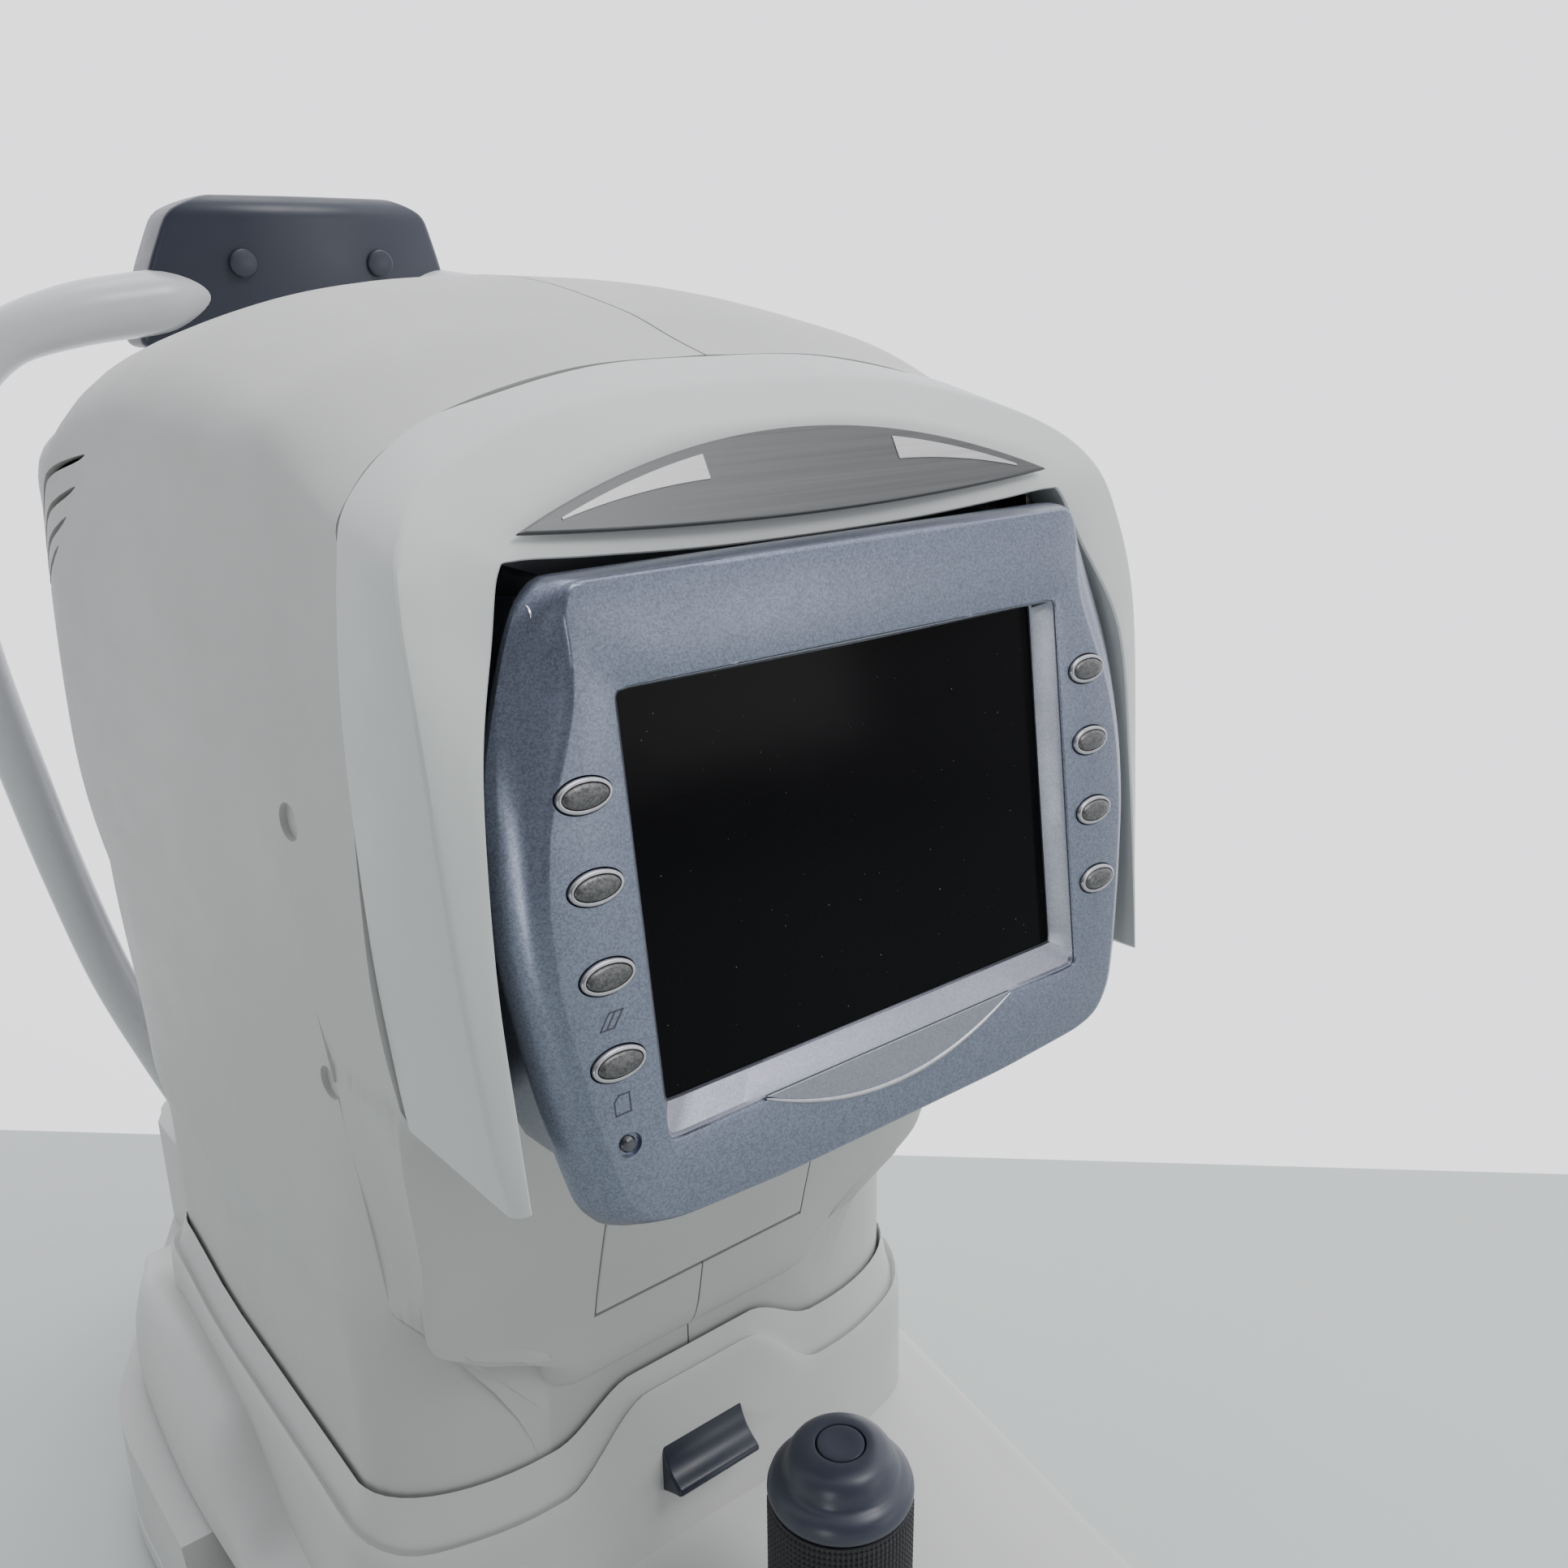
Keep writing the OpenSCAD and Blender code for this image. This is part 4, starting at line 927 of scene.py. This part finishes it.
def lens(half, top, low, count=40):
    upper = [(half * t, top * (1 - t * t)) for t in (1 - 2 * k / count for k in range(count + 1))]
    lower = [(half * t, low * (1 - t * t)) for t in (-1 + 2 * k / count for k in range(1, count))]
    return upper + lower


PLATE_HALF, PLATE_TOP = 73.6, 16.3
plate = prism("badge_plate", lens(PLATE_HALF, PLATE_TOP, -3.3), 0, 1.5, PLATE_M)
soften(plate, 0.5, 3, 50)
give(plate, "head", "nameplate_silver", "nameplate")
for side_sign, side_name in ((-1, "left"), (1, "right")):
    wedge = []
    for k in range(13):
        t = 0.36 + 0.5 * k / 12
        wedge.append((side_sign * PLATE_HALF * t, PLATE_TOP * (1 - t * t) - 2.2))
    for k in range(12, -1, -1):
        t = 0.36 + 0.5 * k / 12
        taper = 5.2 * ((0.88 - t) / 0.52)
        wedge.append((side_sign * PLATE_HALF * t, PLATE_TOP * (1 - t * t) - 2.2 - taper - 0.35))
    inlay = prism("badge_inlay_" + side_name, wedge, 1.3, 1.72, PLATE_M)
    soften(inlay, 0.12, 2, 40)
    give(inlay, "head", "nameplate_silver", material=inlay_silver)


# ---------- stage cover ----------

STICK, GIMBAL_Z = (0.0, -126.0), 34
BOOT_OUTER, BOOT_INNER, BOOT_ROOM = 25.9, 23.7, 27.1
deck_mid_z = smooth([(-192, 27), (-180, 31), (-126, 45), (-59, 61), (-20, 72), (30, 84), (162, 80)])
deck_edge_z = smooth(
    [(-192, 17.5), (-186, 19), (-141, 27), (-83, 41), (-16, 56), (9, 61), (24, 72), (48, 89), (80, 92), (127, 88),
     (162, 78)]
)
deck_ridge_x = smooth([(-192, 100), (-186, 110), (-150, 114), (-16, 114), (24, 110), (127, 108), (162, 100)])
deck_low_x = smooth([(-192, 102), (-186, 112), (-170, 117), (-10, 118), (60, 120), (127, 116), (162, 103)])
deck_low_z = smooth([(-192, 14), (-12, 14), (8, 50), (162, 50)])


def deck_row(y):
    xr, xl, zm, ze, zl = (f(y) for f in (deck_ridge_x, deck_low_x, deck_mid_z, deck_edge_z, deck_low_z))
    half = [(0, y, zm), (xr * 0.35, y, mix(zm, ze, 0.12)), (xr * 0.7, y, mix(zm, ze, 0.5)),
            (xr * 0.9, y, mix(zm, ze, 0.84)), (xr, y, ze - 0.4), (xr + (xl - xr) * 0.7, y, mix(ze, zl, 0.25)),
            (xl, y, mix(ze, zl, 0.6)), (xl, y, zl)]
    return through(half, 6)


DECK_NOSE, DECK_REAR, DECK_UNDER = -186, 162, 14
deck_y = [DECK_NOSE + 1.5 * k for k in range(5)] + [-178 + 4 * k for k in range(41)]
deck_y += [-16 + 2.5 * k for k in range(28)] + [58 + 6 * k for k in range(18)] + [DECK_REAR]
deck_y = sorted(set(y for y in deck_y if y <= DECK_REAR))
deck_rows = []
for k in range(7):
    a = math.pi / 2 * k / 6
    y = DECK_NOSE - 5.6 * math.cos(a)
    row = deck_row(y)
    drop = 5.0 * (1 - math.sin(a))
    deck_rows.append(
        [Vector((p.x, y, max(p.z - drop, DECK_UNDER) if p.z > DECK_UNDER + 0.01 else p.z)) for p in row]
    )
deck_rows.insert(0, [Vector((p.x, DECK_NOSE - 5.6, DECK_UNDER)) for p in deck_rows[0]])
deck_rows += [deck_row(y) for y in deck_y if y > DECK_NOSE]
deck = grid("stage_deck", deck_rows, mirror=True, angle=40)
modify(deck, "SOLIDIFY", thickness=2.4 * MM, offset=-1.0)
settle(deck)


def neck_path(grow_side, grow_front):
    """Half the plan of the neck, front to rear, grown outwards, with the points it grew from."""
    pts = []
    for x in (0, 6, 12, 16, 20, 23, 26, 29, 32, 35, 38, 41, 44, 47, 50):
        pts.append((Vector((x, NECK_FRONT)), Vector((0, -1))))
    for k in range(13):
        a = math.pi / 2 * k / 12
        bend = Vector((NECK_HALF + NECK_BEND_X * math.sin(a), NECK_SIDE_START - NECK_BEND_Y * math.cos(a)))
        pts.append((bend, Vector((math.sin(a) / NECK_BEND_X, -math.cos(a) / NECK_BEND_Y)).normalized()))
    for y in (-15, 0, 20, 40, 60, 80, 100, 115, 122):
        pts.append((Vector((95 - 3 * ease((y - 60) / 72), y)), Vector((1, 0))))
    for k in range(1, 7):
        a = math.pi / 2 * k / 6
        pts.append((Vector((82 + 10 * math.cos(a), 122 + 10 * math.sin(a))), Vector((math.cos(a), math.sin(a)))))
    for x in (60, 40, 20, 0):
        pts.append((Vector((x, 132)), Vector((0, 1))))
    out = []
    for p, n in pts:
        front = ease((-p.y - 44) / 10)
        out.append((p + n * mix(grow_side, grow_front, front), p))
    return out


def collar_foot(p):
    if p.y > -32:
        return 112.0
    hump = 1 - ease((abs(p.x) - 22) / 26)
    return mix(112.6, 124.6, hump)


def collar_rim(p):
    if p.y > -25:
        return 100.0
    side = mix(100, 92, ease((-25 - p.y) / 24))
    hump = 1 - ease((abs(p.x) - 18) / 30)
    return mix(side, 117.0, hump)


collar_profile = []
for grow_side, grow_front, height in (
    (1.2, 1.2, "low"), (1.2, 1.2, -0.6), (1.5, 1.4, 0.0), (2.2, 1.9, 0.12), (3.4, 2.5, 0.5), (4.6, 3.2, 0.78),
    (5.4, 3.8, 0.86), (6.1, 4.3, 0.8), (6.9, 4.9, 0.76), (7.6, 5.4, 0.84), (8.1, 5.8, 1.08), (8.4, 5.95, 1.5),
    (8.6, 5.98, 2.2), (8.9, 5.99, "low"),
):
    row = []
    for q, p in neck_path(grow_side, grow_front):
        top, rim = collar_foot(p), collar_rim(p)
        if height == "low":
            z = 52.0
        elif height <= 0:
            z = top + height
        else:
            z = mix(top, rim, height)
        row.append(Vector((q.x, q.y, z)))
    collar_profile.append(row)
collar_profile.append(collar_profile[0])
collar = grid("neck_collar", collar_profile, mirror=True, angle=38)
plan = [q for q, p in neck_path(1.2, 1.2)]
plan = [Vector((-q.x, q.y)) for q in plan[1:-1]] + plan[::-1]
hole = prism("cutter", plan, 50, 140)
boot_room = [(BOOT_ROOM * math.sin(a), GIMBAL_Z - BOOT_ROOM * math.cos(a)) for a in
             (math.pi * k / 32 for k in range(33))]
boot_hole = lathe("cutter", boot_room, STICK, turns=64)
cut(deck, [hole, boot_hole])
shade(deck, 40)
give(deck, "stage", "base_white", "stage_cover")
SLOT_HALF, SLOT_LOW, SLOT_TOP = 15.7, 61, 107.8
slot_corners = [(-SLOT_HALF, SLOT_LOW), (SLOT_HALF, SLOT_LOW), (SLOT_HALF, SLOT_TOP), (-SLOT_HALF, SLOT_TOP)]
slot_hole = prism("cutter", rounded(slot_corners, 1.5, closed=True), -70, -50, ALONG_Y)
cut(collar, [slot_hole])
shade(collar, 38)
give(collar, "stage", "base_white")
slot_back = prism("slot_backing", [(-19, 58), (19, 58), (19, 109.5), (-19, 109.5)], -57.3, -56.7, ALONG_Y)
give(slot_back, "stage", "base_white")


# ---------- lock lever ----------

lever_face = through([(-61.1, 106.6), (-61.2, 102), (-61.9, 97), (-63.6, 92.6), (-66.4, 89.2), (-70.1, 87.0)], 4)
lever_side = [(-59.2, 107), (-60.6, 107.1)] + [tuple(p) for p in lever_face]
lever_side += [(-71.2, 86.2), (-71.3, 85.0), (-70.4, 84.1), (-68, 83.2), (-64.5, 81.6), (-61.3, 79.9), (-59.2, 79.8)]
lever = prism("lock_tongue", lever_side, -15.1, 15.1, ALONG_X)
soften(lever, 0.8, 4, 60)
shade(lever, 50)
give(lever, "lever", "navy_plastic", "lock_lever")


# ---------- joystick ----------

ring_profile = [(6, 85), (12.9, 84.05), (15.6, 84.5), (17.9, 86), (19.2, 88.2), (19.7, 90.5)]
for z in (91.6 + 1.8 * k for k in range(15)):
    ring_profile += [(19.95, z), (19.95, z + 0.9), (19.5, z + 1.3), (19.5, z + 1.6)]
ring_profile += [(19.8, 118.9), (19.4, 119.7), (18.6, 119.95), (6, 119.95), (6, 85)]


def ribbed(k, r, z):
    return -0.42 if k % 4 in (0, 1) and r > 18.5 and 89 < z < 119.5 else 0


grip = lathe("grip_ring", ring_profile, STICK, turns=360, wave=ribbed)
give(grip, "height_ring", "black_rubber", "knob_ring")
cap_profile = [(4.7, 120.4), (18.4, 120.4), (19.5, 120.9), (19.9, 122.0), (19.8, 123.4), (19.2, 125.2), (18.1, 126.6),
               (16.8, 127.4), (15.9, 127.9), (15.3, 128.8), (14.9, 130.6), (14.3, 132.6), (13.2, 134.3), (11.6, 135.4),
               (9.6, 136.0), (7.6, 136.25), (6.95, 136.1), (6.8, 135.7), (6.8, 131.7), (4.7, 131.7), (4.7, 120.4)]
cap = lathe("stick_cap", cap_profile, STICK, turns=128)
give(cap, "stick", "slate_plastic", "joystick_cap")
button = lathe("start_button_top", [(0, 131), (3.8, 131), (3.8, 134), (6.3, 134), (6.45, 135.9), (6.2, 136.3),
                                    (5.4, 136.4), (3.5, 136.2), (1.5, 136.1), (0, 136.08)], STICK, turns=96)
give(button, "start", "slate_plastic", "start_button")
boot_profile = []
for k in range(31):
    a = math.radians(13 + (79.6 - 13) * k / 30)
    r = BOOT_OUTER - 0.35 * (1 - math.cos(2 * math.pi * k / 5)) * 0.5
    boot_profile.append((r * math.cos(a), GIMBAL_Z + r * math.sin(a)))
boot_profile += [(4.65, 57.2)]
for a in (math.radians(d) for d in (78, 60, 40, 20, 14)):
    boot_profile.append((BOOT_INNER * math.cos(a), GIMBAL_Z + BOOT_INNER * math.sin(a)))
boot_profile.append(boot_profile[0])
boot = lathe("stick_boot", boot_profile, STICK, turns=96)
give(boot, "stick", "black_rubber", "joystick_boot")


# ---------- forehead frame and pad ----------

ARCH_HALF = [(0, 426), (30, 426.5), (52, 424), (76, 420.5), (97, 413), (111, 397), (118, 374), (119.5, 345),
             (116, 312), (108, 268), (100, 228), (89, 182), (75, 140), (60, 100)]
arch_radius = smooth([(80, 8), (260, 7.5), (380, 7.5), (414, 8.5), (424, 10), (440, 10)])


def arch_y(z):
    return 152 + (434 - z) * 0.165


arch_half = [Vector((x, arch_y(z), z)) for x, z in ARCH_HALF]
arch_path = through([Vector((-p.x, p.y, p.z)) for p in reversed(arch_half[1:])] + arch_half, 8)
HIDDEN_IN_PAD = 6.4


def bow_radius(i, p):
    """The bow thins where the pad hides it."""
    return mix(HIDDEN_IN_PAD, arch_radius(p.z), ease((abs(p.x) - 30) / 20))


arch = tube("forehead_bow", arch_path, bow_radius, sides=32)
give(arch, "base", "frame_white", "forehead_frame")
BOW_FOOT_X, BOW_FOOT_Y = 58.0, 206.0
SOCKET_PROFILE = [(6, 76), (9.7, 76), (9.7, 103.6), (9.3, 105), (8.2, 105.8), (6, 106), (6, 76)]
for side_sign, side_name in ((-1, "left"), (1, "right")):
    socket = lathe("bow_socket_" + side_name, SOCKET_PROFILE, (side_sign * BOW_FOOT_X, BOW_FOOT_Y), turns=64)
    give(socket, "base", "frame_white")

PAD_LOW, PAD_TOP = 410, 457
pad_half = smooth([(PAD_LOW, 56), (426, 53.5), (445, 47), (452, 43.5), (PAD_TOP, 36)])


def pad_ring(z, inset):
    """A horizontal section of the pad, bowed towards the patient."""
    w = pad_half(z) - inset
    back = 142.5 - max(0, z - 420) * 0.05 + inset
    face = 158.5 + (PAD_TOP - z) * 0.06 - inset
    bow = [(x, 9 * x * x / 2500) for x in (w * (-1 + k / 12) for k in range(25))]
    line = [Vector((x, back + b, z)) for x, b in bow] + [Vector((x, face + b, z)) for x, b in reversed(bow)]
    return rounded(line, 5.5, steps=4, closed=True)


pad_rows = []
for k in range(8):
    a = math.pi / 2 * k / 7
    pad_rows.append(pad_ring(PAD_LOW + 3.5 * (1 - math.cos(a)), 3.5 * (1 - math.sin(a))))
for z in (418, 423, 428, 433, 438, 443, 447):
    pad_rows.append(pad_ring(z, 0))
for k in range(9):
    a = math.pi / 2 * k / 8
    pad_rows.append(pad_ring(449.5 + 7.5 * math.sin(a), 6.5 * (1 - math.cos(a))))
pad = grid("brow_pad", pad_rows, closed=True, caps=(True, True), angle=50)
PLUG_X, PLUG_Z = 23.6, 436
cut(pad, [
    prism("cutter", [(x + u, PLUG_Z + v) for u, v in ellipse(4.7, 4.7, 40)], 130, 143.6, ALONG_Y)
    for x in (-PLUG_X, PLUG_X)
])
shade(pad, 50)
give(pad, "base", "slate_plastic", "forehead_pad")
PLUG_PROFILE = [(0, -141.3), (2.5, -141.45), (4.0, -141.75), (4.45, -142.2), (4.5, -143.3), (0, -143.3)]
UPRIGHT = Matrix(((1, 0, 0, 0), (0, 0, -1, 0), (0, 1, 0, 0), (0, 0, 0, 1)))
for side_sign, side_name in ((-1, "left"), (1, "right")):
    disc = lathe("pad_plug_" + side_name, PLUG_PROFILE, (side_sign * PLUG_X, PLUG_Z), turns=48, place=UPRIGHT)
    give(disc, "base", "slate_plastic", *(("pad_plugs",) if side_sign < 0 else ()))


# ---------- base and smaller pieces with rounded edges ----------

for node, body, slot, width, segments in (
    ("base_tray", "base", "base_white", 1.2, 3),
    ("base_cover", "base", "base_white", 1.4, 3),
    ("rubber_feet", "base", "black_rubber", 0.6, 2),
    ("chin_housing", "base", "base_white", 1.0, 3),
    ("io_panel", "base", "dark_plastic", 0.4, 2),
    ("power_inlet", "base", "dark_plastic", 0.4, 2),
    ("printer_door", "door", "base_white", 0.6, 3),
    ("power_switch", "rocker", "dark_plastic", 0.4, 2),
    ("chin_cup", "chinrest", "base_white", 1.0, 3),
    ("rear_panel", "head", "slate_plastic", 0.8, 3),
    ("nozzle", "head", "satin_metal", 0.7, 3),
    ("casing_screws", "head", "bright_steel", 0.3, 2),
    ("cover_screws", "base", "bright_steel", 0.3, 2),
):
    give(soft_copy(node, width, segments), body, slot, node)


# ---------- studio ----------


def stage_material(name, colour, rough):
    material, nodes, links, shader, vector = base_material(name, colour, rough)
    speck = noise(nodes, links, vector, 90, 3)
    links.new(ranged(nodes, links, speck, rough - 0.04, rough + 0.06), shader.inputs["Roughness"])
    bumped(nodes, links, shader, [(speck, 0.05, 0.1)])
    return material


def slab(name, corners, low, high, material):
    obj = prism(name, corners, low, high)
    obj.data.materials.append(material)
    soften(obj, 1.5, 3, 50)


edge_dir = Vector((475, -441)).normalized()
edge_out = Vector((-edge_dir.y, edge_dir.x))
edge_mid = Vector((164.5, 191.5))
far = [edge_mid + edge_dir * t for t in (2600, -2600)]
near = [p - edge_out * 3200 for p in reversed(far)]
slab("table_slab", far + near, -30, 0, stage_material("table_paint", (0.47, 0.51, 0.49), 0.4))

world = bpy.data.worlds.new("studio")
bpy.context.scene.world = world
world.use_nodes = True
nodes, links = world.node_tree.nodes, world.node_tree.links
direction = nodes.new("ShaderNodeTexCoord").outputs["Generated"]
facing = nodes.new("ShaderNodeVectorMath")
facing.operation = "DOT_PRODUCT"
facing.inputs[1].default_value = (0.66, 0.66, 0.36)
links.new(direction, facing.inputs[0])
sky = blended(nodes, links, ranged(nodes, links, facing.outputs["Value"], 0, 1, -0.45, 0.55), (0.13, 0.13, 0.14),
              (0.95, 0.95, 1.0))
links.new(sky, nodes["Background"].inputs["Color"])
nodes["Background"].inputs["Strength"].default_value = 2.1


def area_light(name, place, target, size, power):
    light = bpy.data.lights.new(name, "AREA")
    light.shape = "RECTANGLE"
    light.size, light.size_y = size
    light.energy = power
    obj = bpy.data.objects.new(name, light)
    obj.location = place
    obj.rotation_euler = (Vector(target) - Vector(place)).to_track_quat("-Z", "Y").to_euler()
    bpy.context.scene.collection.objects.link(obj)


area_light("key_softbox", (0.45, -1.1, 1.6), (0, -0.05, 0.28), (0.6, 0.6), 12)
area_light("top_softbox", (0.3, 0.3, 1.9), (0, 0, 0.2), (0.8, 0.8), 5)
area_light("left_strip", (-1.5, -0.95, 0.2), (-0.08, -0.14, 0.32), (0.16, 0.5), 3.2)
area_light("front_window", (0.95, -2.0, 0.42), (0, -0.14, 0.33), (1.0, 0.55), 4)

camera_data = bpy.data.cameras.new("photo_camera")
camera_data.lens = 33.35
camera_data.sensor_width = 36
camera_data.clip_start = 0.02
camera = bpy.data.objects.new("photo_camera", camera_data)
right, up = Vector((0.7744, -0.6326, -0.0087)), Vector((0.2123, 0.2469, 0.9455))
ahead = Vector((0.596, 0.734, -0.3255))
turned = Matrix((right, up, -ahead)).transposed().to_4x4()
camera.matrix_world = Matrix.Translation((-0.20503, -0.35712, 0.42814)) @ turned
bpy.context.scene.collection.objects.link(camera)
bpy.context.scene.camera = camera
